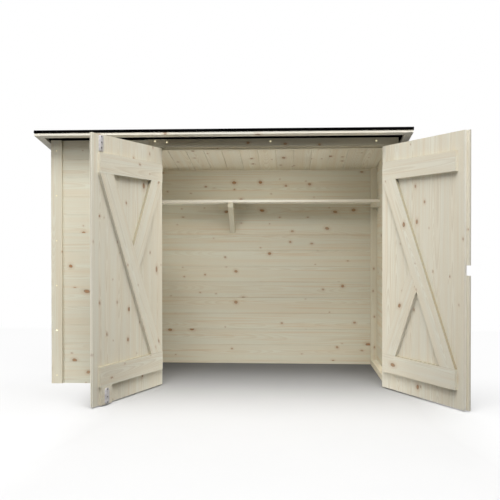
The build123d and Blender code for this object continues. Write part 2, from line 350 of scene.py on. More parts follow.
class Tree:
    """A shader node tree under construction."""

    def __init__(self, tree: bpy.types.NodeTree) -> None:
        """Start an empty tree."""
        self.tree = tree
        tree.nodes.clear()

    @classmethod
    def group(
        cls, name: str, takes: dict[str, str], gives: dict[str, str]
    ) -> tuple["Tree", dict[str, Socket]]:
        """Start a node group.

        Args:
            name: name of the group.
            takes: names and kinds of its inputs.
            gives: names and kinds of its outputs.

        Returns:
            The tree, and the group's inputs by name.
        """
        made = bpy.data.node_groups.new(name, "ShaderNodeTree")
        for way, sockets in (("INPUT", takes), ("OUTPUT", gives)):
            for label, kind in sockets.items():
                made.interface.new_socket(label, in_out=way, socket_type="NodeSocket" + kind)
        tree = cls(made)
        return tree, dict(tree.node("NodeGroupInput").outputs.items())

    def node(self, kind: str, feeds: dict | None = None, **settings: object) -> bpy.types.Node:
        """Add a node.

        Args:
            kind: its type, without the ShaderNode prefix.
            feeds: values or sockets for its inputs, by name or index.
            settings: its properties.

        Returns:
            The new node.
        """
        made = self.tree.nodes.new(kind if kind.startswith("Node") else "ShaderNode" + kind)
        for name, value in settings.items():
            setattr(made, name, value)
        for name, value in (feeds or {}).items():
            if isinstance(value, Socket):
                self.tree.links.new(value, made.inputs[name])
            else:
                made.inputs[name].default_value = value
        return made

    def math(self, operation: str, *values: float | Socket) -> Socket:
        """Result of a calculation with one to three values."""
        return self.node("Math", dict(enumerate(values)), operation=operation).outputs[0]

    def combine(self, x: float | Socket, y: float | Socket, z: float | Socket = 0.0) -> Socket:
        """Vector of three values."""
        return self.node("CombineXYZ", {0: x, 1: y, 2: z}).outputs[0]

    def split(self, vector: Socket) -> list[Socket]:
        """The three values of a vector or a colour."""
        kind = "SeparateColor" if vector.type == "RGBA" else "SeparateXYZ"
        return list(self.node(kind, {0: vector}).outputs)[:3]

    def sway(self, luck: Socket, reach: float | Socket, base: float | Socket) -> Socket:
        """A base moved up and down over a reach by luck from 0 to 1."""
        return self.math("MULTIPLY_ADD", self.math("SUBTRACT", luck, 0.5), reach, base)

    def stretch(self, vector: Socket, *scale: float) -> Socket:
        """Vector scaled along each direction."""
        return self.node("VectorMath", {0: vector, 1: scale}, operation="MULTIPLY").outputs[0]

    def length(self, vector: Socket) -> Socket:
        """Length of a vector."""
        return self.node("VectorMath", {0: vector}, operation="LENGTH").outputs["Value"]

    def noise(self, vector: Socket, scale: float, detail: float = 2.0) -> bpy.types.Node:
        """Noise texture of a vector."""
        return self.node("TexNoise", {"Vector": vector, "Scale": scale, "Detail": detail})

    def drawn(self, vector: Socket, scale: Triple, detail: float = 1.0) -> Socket:
        """Noise drawn out along the directions of a vector."""
        return self.noise(self.stretch(vector, *scale), 1.0, detail).outputs[0]

    def step(
        self, value: Socket, low: float | Socket, high: float | Socket, to: Pair = (0.0, 1.0)
    ) -> Socket:
        """Smooth step of a value between two limits, from one result to another."""
        feeds = {0: value, 1: low, 2: high, 3: to[0], 4: to[1]}
        return self.node("MapRange", feeds, interpolation_type="SMOOTHSTEP").outputs[0]

    def mix(self, share: Socket, first: float | Socket, second: float | Socket) -> Socket:
        """Value between two values, by the share of the second."""
        return self.node("Mix", {0: share, 2: first, 3: second}).outputs[0]

    def blend(self, share: Socket, first: Colour | Socket, second: Colour | Socket) -> Socket:
        """Colour between two colours, by the share of the second."""
        return self.node("Mix", {0: share, 6: first, 7: second}, data_type="RGBA").outputs[2]

    def bump(self, strength: float, distance: float, height: Socket) -> Socket:
        """Normal of a surface with a relief."""
        return self.node("Bump", {"Strength": strength, "Distance": distance, "Height": height}).outputs[0]

    def seen(self) -> Socket:
        """Whether a ray comes from the camera, a reflection or a transmission."""
        path = self.node("LightPath").outputs
        seen = self.math("MAXIMUM", path["Is Camera Ray"], path["Is Glossy Ray"])
        return self.math("MAXIMUM", seen, path["Is Transmission Ray"])

    def give(self, **results: Socket) -> None:
        """Hand the results to the group's outputs."""
        self.node("NodeGroupOutput", results)

    def surface(self, feeds: dict) -> None:
        """End a material with a principled shader."""
        self.node("OutputMaterial", {"Surface": self.node("BsdfPrincipled", feeds).outputs[0]})


def rgb(red: int, green: int, blue: int) -> Colour:
    """Linear colour of three display values from 0 to 255."""
    shares = [value / 255 for value in (red, green, blue)]
    return (*(s / 12.92 if s <= 0.04045 else ((s + 0.055) / 1.055) ** 2.4 for s in shares), 1.0)


class Group:
    """A node group of the finishes."""

    name: str
    takes: dict[str, str]
    gives: dict[str, str]

    def get(self) -> bpy.types.NodeTree:
        """The group's nodes, built at the first use."""
        made = bpy.data.node_groups.get(self.name)
        if made is None:
            tree, has = Tree.group(self.name, self.takes, self.gives)
            tree.give(**self.work(tree, has))
            made = tree.tree
        return made

    def work(self, tree: Tree, has: dict[str, Socket]) -> dict[str, Socket]:
        """Work out the outputs by name, from the inputs by name."""
        raise NotImplementedError


@dataclass(frozen=True)
class KnotGroup(Group):
    """Knots: round branches that run through a board, in metres of the board's own face.

    Attributes:
        cell: length and width of the field in which one knot may stand.
        shift: how far a board's number shifts its fields.
        squeeze: how luck changes a knot's length, and what remains without it.
        level: luck of a knot that lies straight in the board.
        grit: fineness and reach of its ragged outline.
        rare: power that makes thick knots rare.
        radius: what thickness adds to the radius, and the least radius.
        clear: what thickness adds to the strength, and the least strength.
        heart: outer and inner limit of the heart, in radii.
        bark: the same of the bark round it.
        halo: the same of the wood that bends round it.
    """

    cell: Pair = (0.20, 0.115)
    shift: float = 7.31
    squeeze: Pair = (0.42, 0.5)
    level: float = 0.2
    grit: Pair = (130.0, 3.5 * MM)
    rare: float = 2.2
    radius: Pair = (7.6 * MM, 3.4 * MM)
    clear: Pair = (0.5, 0.5)
    heart: Pair = (1.1, 0.75)
    bark: Pair = (1.35, 1.0)
    halo: Pair = (3.6, 0.9)

    name = "Knots"
    takes = {"Grain": "Vector", "Board": "Float", "Share": "Float"}
    gives = {"Knot": "Float", "Rim": "Float", "Halo": "Float", "Bulge": "Float", "Girth": "Float"}

    def work(self, tree: Tree, has: dict[str, Socket]) -> dict[str, Socket]:
        """Work out the masks of the knots.

        Args:
            tree: nodes of the group.
            has: its inputs by name.

        Returns:
            Its outputs by name.
        """
        x, y, _ = tree.split(has["Grain"])
        shifted = tree.math("MULTIPLY_ADD", has["Board"], self.shift, tree.math("DIVIDE", y, self.cell[1]))
        cells = tree.combine(tree.math("DIVIDE", x, self.cell[0]), shifted)
        spots = tree.node("TexVoronoi", {"Vector": cells, "Scale": 1.0}, voronoi_dimensions="2D").outputs
        away = tree.node("VectorMath", {0: cells, 1: spots["Position"]}, operation="SUBTRACT").outputs[0]
        chance, girth, oval = tree.split(spots["Color"])
        run, rise, _ = tree.split(away)
        run = tree.math("MULTIPLY", run, tree.math("MULTIPLY_ADD", oval, *self.squeeze))
        rise = tree.math("MULTIPLY_ADD", run, tree.math("SUBTRACT", chance, self.level), rise)
        reach = tree.length(tree.stretch(tree.combine(run, rise), *self.cell, 0.0))
        ragged = tree.noise(has["Grain"], self.grit[0], 1.0).outputs[0]
        reach = tree.sway(ragged, self.grit[1], reach)
        girth = tree.math("POWER", girth, self.rare)
        radius = tree.math("MULTIPLY_ADD", girth, *self.radius)
        here = tree.math("LESS_THAN", chance, has["Share"])
        here = tree.math("MULTIPLY", here, tree.math("MULTIPLY_ADD", girth, *self.clear))
        heart, bark, halo = (
            tree.step(reach, *(tree.math("MULTIPLY", radius, share) for share in limits))
            for limits in (self.heart, self.bark, self.halo)
        )
        bark = tree.math("MULTIPLY", bark, tree.math("SUBTRACT", 1.0, heart))
        halo = tree.math("MULTIPLY", halo, here)
        return {
            "Knot": tree.math("MULTIPLY", heart, here),
            "Rim": tree.math("MULTIPLY", bark, here),
            "Halo": halo,
            "Bulge": tree.math("MULTIPLY", halo, radius),
            "Girth": girth,
        }


@dataclass(frozen=True)
class SpruceGroup(Group):
    """Sawn spruce: growth rings about a pith outside the board, soft stripes, fibre and knots.

    Scales are features to the metre along, across and through the board.

    Attributes:
        ring: width of a growth ring.
        drift: how fast the pith wanders along the log.
        side: reach of the pith's place across, and of its wandering there.
        depth: reach and start of its place below the board.
        sink: reach of its wandering there.
        wobble: scale of the rings' waviness.
        waver: reach of that waviness.
        bulge: how far the rings bend round a knot.
        years: fineness and reach of the change from year to year.
        rise: limits between which the late wood of a ring begins.
        fall: limits between which it ends.
        broad: scale of the broad stripes.
        bands: limits of the noise between which they change.
        cloud: scale of the soft clouds.
        fibre: scale of the fibre.
        warmth: share of the warm colour in stripes, clouds, knots' haloes and fibre.
        line: share of the ring's colour.
        streak: scale of the brown streaks.
        stripe: limits of the noise between which they change.
        stain: share of the knot's colour in its halo.
        whirl: what late wood adds to a knot's strength, and the least strength.
        bark: brightness of a knot's rim beside its heart.
        dark: what thickness adds to the strength of the rim, and the least strength.
        rough: what fibre adds to the roughness, and the least roughness.
        polish: what a knot takes from it.
        ridge: height of late wood, fibre and knots.
    """

    ring: float = 2.7 * MM
    drift: float = 0.8
    side: Pair = (0.13, 0.08)
    depth: Pair = (-0.09, -0.035)
    sink: float = 0.06
    wobble: Triple = (2.5, 14.0, 14.0)
    waver: float = 4.5 * MM
    bulge: float = 1.1
    years: Pair = (55.0, 5.0)
    rise: Pair = (0.25, 0.88)
    fall: Pair = (1.0, 0.9)
    broad: Triple = (0.9, 26.0, 26.0)
    bands: Pair = (0.3, 0.7)
    cloud: Triple = (2.0, 7.0, 7.0)
    fibre: Triple = (12.0, 620.0, 620.0)
    warmth: Colour = (0.62, 0.9, 0.55, 0.5)
    line: float = 0.34
    streak: Triple = (1.3, 70.0, 70.0)
    stripe: Pair = (0.56, 0.7)
    stain: float = 0.17
    whirl: Pair = (0.25, 0.7)
    bark: float = 0.42
    dark: Pair = (0.5, 0.35)
    rough: Pair = (0.14, 0.52)
    polish: float = 0.16
    ridge: Triple = (0.5, 0.35, 0.7)

    name = "Spruce"
    takes = {
        "Grain": "Vector", "Board": "Float", "Pale": "Color", "Warm": "Color", "Line": "Color",
        "Knot": "Color", "Spread": "Float", "Knots": "Float", "Streaks": "Float", "Streak": "Color",
    }
    gives = {"Color": "Color", "Roughness": "Float", "Height": "Float"}

    def late_wood(self, tree: Tree, has: dict[str, Socket], luck: Socket, bulge: Socket) -> Socket:
        """Late wood of the rings about the pith.

        Args:
            tree: nodes of the group.
            has: its inputs by name.
            luck: random colour of the board.
            bulge: how far knots push the rings aside.

        Returns:
            The share of late wood.
        """
        x, y, z = tree.split(has["Grain"])
        side, depth, _ = tree.split(luck)
        along = tree.combine(tree.math("MULTIPLY", x, self.drift), has["Board"])
        drift_y, drift_z, _ = tree.split(tree.noise(along, 1.0, 1.0).outputs["Color"])
        pith_y = tree.sway(drift_y, self.side[1], tree.sway(side, self.side[0], 0.0))
        pith_z = tree.sway(drift_z, self.sink, tree.math("MULTIPLY_ADD", depth, *self.depth))
        spoke = tree.combine(tree.math("SUBTRACT", y, pith_y), tree.math("SUBTRACT", z, pith_z))
        radius = tree.sway(tree.drawn(has["Grain"], self.wobble, 2.0), self.waver, tree.length(spoke))
        radius = tree.math("MULTIPLY_ADD", bulge, self.bulge, radius)
        years = tree.noise(tree.combine(radius, has["Board"]), self.years[0], 1.0).outputs[0]
        phase = tree.math("MULTIPLY_ADD", years, self.years[1], tree.math("DIVIDE", radius, self.ring))
        ring = tree.math("FRACT", phase)
        return tree.math("MULTIPLY", tree.step(ring, *self.rise), tree.step(ring, *self.fall))

    def warm(self, tree: Tree, place: Socket, halo: Socket, fibre: Socket) -> Socket:
        """Share of the warm colour.

        Args:
            tree: nodes of the group.
            place: place in the log.
            halo: wood round the knots.
            fibre: noise of the fibre.

        Returns:
            The share.
        """
        stripes, clouds, haloes, fibres = self.warmth
        broad = tree.step(tree.drawn(place, self.broad), *self.bands)
        share = tree.sway(tree.drawn(place, self.cloud, 2.0), clouds, tree.math("MULTIPLY", broad, stripes))
        return tree.sway(fibre, fibres, tree.math("MULTIPLY_ADD", halo, haloes, share))

    def work(self, tree: Tree, has: dict[str, Socket]) -> dict[str, Socket]:
        """Work out the colour, the roughness and the relief.

        Args:
            tree: nodes of the group.
            has: its inputs by name.

        Returns:
            Its outputs by name.
        """
        feeds = {"Grain": has["Grain"], "Board": has["Board"], "Share": has["Knots"]}
        knots = tree.node("Group", feeds, node_tree=KnotGroup().get()).outputs
        knot = knots["Knot"]
        luck = tree.node("TexWhiteNoise", {"W": has["Board"]}, noise_dimensions="1D").outputs["Color"]
        late = self.late_wood(tree, has, luck, knots["Bulge"])
        fibre = tree.drawn(has["Grain"], self.fibre)
        color = tree.blend(self.warm(tree, has["Grain"], knots["Halo"], fibre), has["Pale"], has["Warm"])
        color = tree.blend(tree.math("MULTIPLY", late, self.line), color, has["Line"])
        streak = tree.step(tree.drawn(has["Grain"], self.streak), *self.stripe)
        color = tree.blend(tree.math("MULTIPLY", streak, has["Streaks"]), color, has["Streak"])
        color = tree.blend(tree.math("MULTIPLY", knots["Halo"], self.stain), color, has["Knot"])
        value = tree.sway(tree.split(luck)[2], has["Spread"], 1.0)
        color = tree.node("HueSaturation", {"Value": value, "Color": color}).outputs[0]
        whirl = tree.math("MULTIPLY_ADD", late, *self.whirl)
        color = tree.blend(tree.math("MULTIPLY", knot, whirl), color, has["Knot"])
        bark = tree.node("HueSaturation", {"Value": self.bark, "Color": has["Knot"]}).outputs[0]
        dark = tree.math("MULTIPLY_ADD", knots["Girth"], *self.dark)
        color = tree.blend(tree.math("MULTIPLY", knots["Rim"], dark), color, bark)
        rough = tree.math("MULTIPLY_ADD", fibre, *self.rough)
        height = tree.math("MULTIPLY_ADD", late, self.ridge[0], tree.math("MULTIPLY", fibre, self.ridge[1]))
        return {
            "Color": color,
            "Roughness": tree.math("MULTIPLY_ADD", knot, -self.polish, rough),
            "Height": tree.math("MULTIPLY_ADD", knot, self.ridge[2], height),
        }


@dataclass(frozen=True)
class WearGroup(Group):
    """Fine scratches and smudges of handled metal, by the piece's own coordinates.

    Attributes:
        scratch: scale of the scratches.
        cuts: limits of the noise between which they show.
        strength: how strong they are.
        smudge: scale and layers of the smudges.
        stains: limits of the noise between which they show.
    """

    scratch: Triple = (900.0, 900.0, 60.0)
    cuts: Pair = (0.55, 0.75)
    strength: float = 0.3
    smudge: Pair = (60.0, 3.0)
    stains: Pair = (0.35, 0.7)

    name = "Wear"
    takes = {"Place": "Vector", "Amount": "Float"}
    gives = {"Mask": "Float", "Height": "Float"}

    def work(self, tree: Tree, has: dict[str, Socket]) -> dict[str, Socket]:
        """Work out where the metal is worn.

        Args:
            tree: nodes of the group.
            has: its inputs by name.

        Returns:
            Its outputs by name.
        """
        scratch = tree.drawn(has["Place"], self.scratch, 2.0)
        smudge = tree.noise(has["Place"], *self.smudge).outputs[0]
        mask = tree.math("MULTIPLY", tree.step(smudge, *self.stains), has["Amount"])
        mask = tree.math("MULTIPLY_ADD", tree.step(scratch, *self.cuts), self.strength, mask)
        return {"Mask": mask, "Height": scratch}


class Finish:
    """A finish that makes its material once and lays it on pieces."""

    name: str

    def dress(self, piece: Object) -> Object:
        """Give a piece this finish and no other.

        Args:
            piece: the piece.

        Returns:
            The same piece.
        """
        piece.data.materials.clear()
        piece.data.materials.append(bpy.data.materials.get(self.name) or self.make())
        return piece

    def start(self) -> tuple[Material, Tree]:
        """A new material and its empty tree."""
        material = bpy.data.materials.new(self.name)
        material.use_nodes = True
        return material, Tree(material.node_tree)

    def make(self) -> Material:
        """Build the material."""
        raise NotImplementedError


@dataclass(frozen=True)
class Spruce(Finish):
    """Bare planed spruce.

    Attributes:
        name: name of the material.
        pale: its lightest wood.
        warm: its broad warmer stripes.
        line: late wood of a growth ring.
        knot: heart of a knot.
        spread: how far boards differ in tone.
        knots: share of the places for a knot that have one.
        streaks: how strong the brown streaks are.
        streak: their colour.
        sheen: how much it shines.
        relief: strength and depth of its relief.
    """

    name: str
    pale: Colour = rgb(216, 214, 197)
    warm: Colour = rgb(214, 203, 180)
    line: Colour = rgb(199, 184, 157)
    knot: Colour = rgb(152, 98, 42)
    spread: float = 0.05
    knots: float = 0.56
    streaks: float = 0.12
    streak: Colour = rgb(206, 172, 126)
    sheen: float = 0.16
    relief: Pair = (0.35, 0.35 * MM)

    def make(self) -> Material:
        """Build the material."""
        material, tree = self.start()
        feeds = {
            "Grain": tree.node("Attribute", attribute_name="grain").outputs["Vector"],
            "Board": tree.node("Attribute", attribute_name="board").outputs["Fac"],
            "Pale": self.pale, "Warm": self.warm, "Line": self.line, "Knot": self.knot,
            "Spread": self.spread, "Knots": self.knots, "Streaks": self.streaks, "Streak": self.streak,
        }
        wood = tree.node("Group", feeds, node_tree=SpruceGroup().get()).outputs
        tree.surface({
            "Base Color": wood["Color"],
            "Roughness": wood["Roughness"],
            "Specular IOR Level": self.sheen,
            "Normal": tree.bump(*self.relief, wood["Height"]),
        })
        return material


@dataclass(frozen=True)
class Metal(Finish):
    """Plated steel.

    Attributes:
        name: name of the material.
        bright: colour of the clean plating.
        dull: colour where it has been handled.
        rough: how matt the clean plating is.
        metallic: how much it mirrors instead of scattering.
        worn: how much of it has been handled.
        matt: what handling adds to its roughness.
        flake: crystals of the plating to the metre.
        spangle: how far they differ.
        relief: strength and depth of its scratches.
    """

    name: str
    bright: Colour
    dull: Colour
    rough: float = 0.34
    metallic: float = 1.0
    worn: float = 0.7
    matt: float = 0.22
    flake: float = 420.0
    spangle: float = 0.25
    relief: Pair = (0.2, 0.05 * MM)

    def make(self) -> Material:
        """Build the material."""
        material, tree = self.start()
        place = tree.node("TexCoord").outputs["Object"]
        wear = tree.node("Group", {"Place": place, "Amount": self.worn}, node_tree=WearGroup().get()).outputs
        flake = tree.node("TexVoronoi", {"Vector": place, "Scale": self.flake}).outputs["Color"]
        share = tree.math("ADD", tree.math("MULTIPLY", tree.split(flake)[0], self.spangle), wear["Mask"])
        tree.surface({
            "Base Color": tree.blend(share, self.bright, self.dull),
            "Metallic": self.metallic,
            "Roughness": tree.math("MULTIPLY_ADD", wear["Mask"], self.matt, self.rough),
            "Normal": tree.bump(*self.relief, wear["Height"]),
        })
        return material


@dataclass(frozen=True)
class Felt(Finish):
    """Mineral roofing felt: bitumen sheet with fine slate granules.

    Attributes:
        name: name of the material.
        bitumen: colour between the granules.
        slate: colour of the granules.
        grit: granules to the metre.
        patch: scale and layers of its patches.
        bald: limits of the noise between which granules are missing.
        rough: how a granule changes the roughness, and roughness without it.
        relief: strength and depth of the granules.
    """

    name: str
    bitumen: Colour = rgb(3, 3, 3)
    slate: Colour = rgb(78, 79, 83)
    grit: float = 750.0
    patch: Pair = (3.0, 3.0)
    bald: Pair = (0.0, 0.7)
    rough: Pair = (-0.12, 1.0)
    relief: Pair = (0.4, 0.6 * MM)

    def make(self) -> Material:
        """Build the material."""
        material, tree = self.start()
        place = tree.node("TexCoord").outputs["Object"]
        grains = tree.node("TexVoronoi", {"Vector": place, "Scale": self.grit}).outputs
        patches = tree.step(tree.noise(place, *self.patch).outputs[0], *self.bald)
        bright = tree.math("MULTIPLY", tree.split(grains["Color"])[0], patches)
        tree.surface({
            "Base Color": tree.blend(bright, self.bitumen, self.slate),
            "Roughness": tree.math("MULTIPLY_ADD", bright, *self.rough),
            "Specular IOR Level": 0.0,
            "Normal": tree.bump(*self.relief, tree.math("SUBTRACT", 1.0, grains["Distance"])),
        })
        return material


WALL = Spruce("wall_spruce", streaks=0.3)
PANEL = Spruce("panel_spruce")
TRIM = Spruce("trim_spruce", pale=rgb(214, 211, 194), warm=rgb(211, 202, 180), knots=0.3)
BATTEN = Spruce("batten_spruce", pale=rgb(219, 216, 198), warm=rgb(216, 206, 183), knots=0.3)
DOOR = Spruce("door_spruce", pale=rgb(231, 228, 213), warm=rgb(228, 219, 198), knots=0.6)
# Header: darker spruce, painted shade for the shadow under the roof's overhang.
HEADER_PAINTED_SHADE = Spruce("header_painted_shade", pale=rgb(197, 193, 175), warm=rgb(191, 181, 157), knots=0.45)
# Near-white spruce: painted light on the roof's laths and on the shelf.
LATH_PAINTED_LIGHT = Spruce("lath_painted_light", pale=rgb(248, 246, 235), warm=rgb(244, 237, 220), knots=0.3)
# Near-white spruce: painted light on the left leaf's free edge and on the braces' faces that look down.
EDGE = Spruce("edge_painted_light", pale=rgb(252, 250, 240), warm=rgb(249, 243, 228), knots=0.3)
# Darker spruce: painted shade on faces of ledges and braces that look up, and on the header's underside.
PAINTED_SHADE_FACES = Spruce("painted_shade_faces", pale=rgb(158, 153, 132), warm=rgb(150, 139, 114), knots=0.3)
DECK = Spruce("deck_spruce", pale=rgb(232, 228, 212), warm=rgb(228, 218, 196), spread=0.09, knots=0.5)
ZINC = Metal("bright_zinc", rgb(214, 216, 218), rgb(164, 167, 170))
BOLT_STEEL = Metal("bolt_zinc", rgb(214, 211, 212), rgb(178, 175, 176), 0.55, 0.6)
YELLOW = Metal("yellow_zinc", rgb(255, 247, 212), rgb(250, 234, 186), 0.3)
# Dark steel: the bolt's blued screws, and painted shade for its thumb hole.
BLUED_AND_HOLE_SHADE = Metal("blued_steel_and_hole_shade", rgb(52, 50, 50), rgb(26, 25, 25), 0.5, 0.6)
FELT = Felt("mineral_felt")
BITUMEN = Felt("bitumen_edge", slate=rgb(13, 13, 14))


def finish_piece(piece: Object, finish: Finish, body: str, slot: str, *nodes: str) -> Object:
    """Dress a piece, give it to a body and hide the CAD nodes that it replaces.

    Args:
        piece: the finished mesh.
        finish: its finish.
        body: the body that it moves with.
        slot: the record's material slot; not used.
        nodes: the CAD nodes that it replaces.

    Returns:
        The same piece.
    """
    finish.dress(piece)
    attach(piece, body)
    if nodes:
        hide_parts(*nodes)
    log.info("%s: %d faces on %s", piece.name, len(piece.data.polygons), body)
    return piece


def face_finish(piece: Object, finish: Finish, wanted: Callable[[Vector], bool]) -> None:
    """Give the faces that look a certain way another finish.

    Args:
        piece: the dressed piece.
        finish: the other finish.
        wanted: tells from the direction of a face whether it has that finish.
    """
    piece.data.materials.append(bpy.data.materials.get(finish.name) or finish.make())
    for face in piece.data.polygons:
        if wanted(face.normal):
            face.material_index = len(piece.data.materials) - 1


@dataclass(frozen=True)
class Pitch:
    """The slope of the roof, taken from the frame.

    Attributes:
        y: a depth at which the underside is known.
        z: height of the underside there.
        fall: drop for each metre towards the back.
    """

    y: float
    z: float
    fall: float

    @classmethod
    def of_frame(cls) -> "Pitch":
        """Read the slope off the tops of the front and back walls."""
        front, back = Span.of("front_over_door"), Span.of("back_wall")
        fall = (front.hi.z - back.hi.z) / (back.lo.y - front.lo.y)
        return cls(front.lo.y, front.hi.z, fall)

    def at(self, y: float) -> Vector:
        """Point of the underside above a depth."""
        return Vector((0.0, y, self.z - (y - self.y) * self.fall))

    @property
    def down(self) -> Vector:
        """Unit direction down the slope."""
        return Vector((0.0, 1.0, -self.fall)).normalized()

    @property
    def normal(self) -> Vector:
        """Unit direction square to the slope, upwards."""
        return Vector((0.0, self.fall, 1.0)).normalized()

    def crop(self, piece: Object, below: float = 0.0) -> None:
        """Cut a piece off at the underside of the roof, or some way below it."""
        saw(piece, self.at(self.y) - Way.UP.unit * below, self.normal)


def timber(span: Span, run: Way, rng: random.Random, ease: float = EASE) -> Object:
    """A planed timber with its long edges eased, in place.

    Args:
        span: its box.
        run: the way that its grain runs.
        rng: source of its grain.
        ease: size of the eased edge.

    Returns:
        The timber, with its grain written on it.
    """
    size = span.size
    wide, thin = sorted((way for way in Way if way is not run), key=lambda way: -size[way.value])
    piece = block((size[run.value], size[wide.value], size[thin.value]), ease)
    grain(piece, rng)
    return settle(piece, frame_matrix(run.unit, wide.unit, span.middle))


@dataclass
class BoardProfile:
    """Section of a tongue and groove board, on its own Y across and Z through.

    Attributes:
        pitch: visible width with its joint.
        thickness: thickness of the board.
        face_bevel: bevel beside each joint on the face that looks along Z.
        back_bevel: the same on the other face.
        gap: open joint between two boards.
        tongue: length of the tongue.
        slack: space left at the bottom of the groove.
    """

    pitch: float
    thickness: float
    face_bevel: float = 0.9 * MM
    back_bevel: float = 1.2 * MM
    gap: float = 0.4 * MM
    tongue: float = 6.0 * MM
    slack: float = 1.0 * MM

    def board(self, length: float) -> Object:
        """Model one board, from its own origin along X.

        Args:
            length: length of the board.

        Returns:
            The board, with its tongue towards Y and a groove on the other side.
        """
        half = (self.pitch - self.gap) / 2
        lip = self.thickness / 6
        depth = self.tongue + self.slack
        side, skin = half * NEAR, self.thickness / 2 * NEAR
        bpy.ops.mesh.primitive_plane_add(size=1, rotation=(0, math.pi / 2, 0))
        piece = bpy.context.object
        piece.scale = (self.thickness, 2 * half, 1)
        settle(piece)
        with editing(piece) as mesh:
            for cut in (-lip, lip):
                bpy.ops.mesh.select_all(action="SELECT")
                bpy.ops.mesh.bisect(plane_co=(0, 0, cut), plane_no=(0, 0, 1))
            pick(mesh, "edges", lambda place, lean: place.y > side and abs(place.z) < lip / 2)
            bpy.ops.mesh.extrude_region_move(TRANSFORM_OT_translate={"value": (0, self.tongue, 0)})
            bpy.ops.mesh.select_all(action="SELECT")
            bpy.ops.mesh.bisect(plane_co=(0, depth - half, 0), plane_no=(0, 1, 0))
            bpy.ops.mesh.select_mode(type="FACE")
            pick(mesh, "faces", lambda place, lean: place.y < depth - half and abs(place.z) < lip / 2)
            bpy.ops.mesh.delete(type="FACE")
            bpy.ops.mesh.select_mode(type="VERT")
            for face, slope in ((1, self.face_bevel), (-1, self.back_bevel)):
                pick(mesh, "verts", lambda place, lean: place.z * face > skin and abs(place.y) > side)
                bpy.ops.mesh.bevel(offset=slope, affect="VERTICES", segments=1)
            bpy.ops.mesh.select_all(action="SELECT")
            bpy.ops.mesh.extrude_region_move(TRANSFORM_OT_translate={"value": (length, 0, 0)})
        return piece

    def lay(
        self, length: float, reach: Pair, joint: float, rng: random.Random, place: Callable[[float], Matrix]
    ) -> list[Object]:
        """Lay boards side by side.

        Args:
            length: length of the boards.
            reach: where the boards begin and end, across them.
            joint: place of one joint, across them.
            rng: source of their grain.
            place: gives a board's matrix from the place of its middle line.

        Returns:
            The boards.
        """
        model = self.board(length)
        first = math.floor((reach[0] - joint) / self.pitch)
        last = math.ceil((reach[1] - joint) / self.pitch)
        boards = []
        for number in range(first, last):
            board = twin(model)
            grain(board, rng)
            boards.append(settle(board, place(joint + (number + 0.5) * self.pitch)))
        bpy.data.objects.remove(model)
        return boards


@dataclass
class Boarding:
    """A face of tongue and groove boards between two limits.

    Attributes:
        span: box of the whole face.
        run: direction of the boards.
        across: direction in which they are laid, one beside the other.
        profile: section of a board, its face looking along run cross across.
        joint: place of one joint along across.
    """

    span: Span
    run: Vector
    across: Vector
    profile: BoardProfile
    joint: float

    def build(self, name: str, rng: random.Random) -> Object:
        """Lay the boards and saw them to the limits of the face.

        Args:
            name: name of the piece.
            rng: source of the boards' grain.

        Returns:
            The boarded face.
        """
        span, run, across = self.span, self.run, self.across
        through = run.cross(across)
        low, high = sorted((span.lo.dot(across), span.hi.dot(across)))
        start = min(span.lo.dot(run), span.hi.dot(run))
        level = through * span.middle.dot(through)
        boards = self.profile.lay(
            abs(span.size.dot(run)), (low, high), self.joint, rng,
            lambda at: frame_matrix(run, across, run * start + across * at + level),
        )
        face = join(name, boards)
        saw(face, across * low, -across)
        saw(face, across * high, across)
        return face


@dataclass
class Carcass:
    """The walls of boards and the battens that carry them.

    Attributes:
        pitch: slope of the roof.
        board: visible width of a wall board.
        joint: height of one joint of the walls.
        rng: source of the grain.
    """

    pitch: Pitch
    board: float = 125.8 * MM
    joint: float = 148.0 * MM
    rng: random.Random = field(default_factory=lambda: random.Random(11))

    WALLS = (
        ("back_wall", Way.ACROSS, WALL), ("left_wall", Way.DEEP, WALL), ("right_wall", Way.DEEP, WALL),
        ("front_panel", Way.ACROSS, PANEL), ("front_pier", Way.ACROSS, PANEL),
        ("front_over_door", Way.ACROSS, PANEL),
    )
    BATTENS = (
        ("front_post_left", Way.UP), ("front_post_right", Way.UP), ("back_post_left", Way.UP),
        ("back_post_right", Way.UP), ("door_post", Way.UP), ("lintel", Way.ACROSS),
        ("bottom_rail_front", Way.ACROSS), ("bottom_rail_left", Way.DEEP), ("bottom_rail_right", Way.DEEP),
    )

    def build(self) -> None:
        """Build the walls, the posts and the rails."""
        for node, run, finish in self.WALLS:
            span = Span.of(node)
            profile = BoardProfile(self.board, min(span.size.x, span.size.y))
            boarding = Boarding(span, run.unit, Way.UP.unit, profile, self.joint)
            wall = boarding.build(node + "_boards", self.rng)
            self.pitch.crop(wall)
            finish_piece(join(wall.name, [wall]), finish, "shed", "wall_timber", node)
        for node, run in self.BATTENS:
            batten = timber(Span.of(node), run, self.rng)
            self.pitch.crop(batten)
            finish_piece(join(node + "_batten", [batten]), BATTEN, "shed", "frame_timber", node)


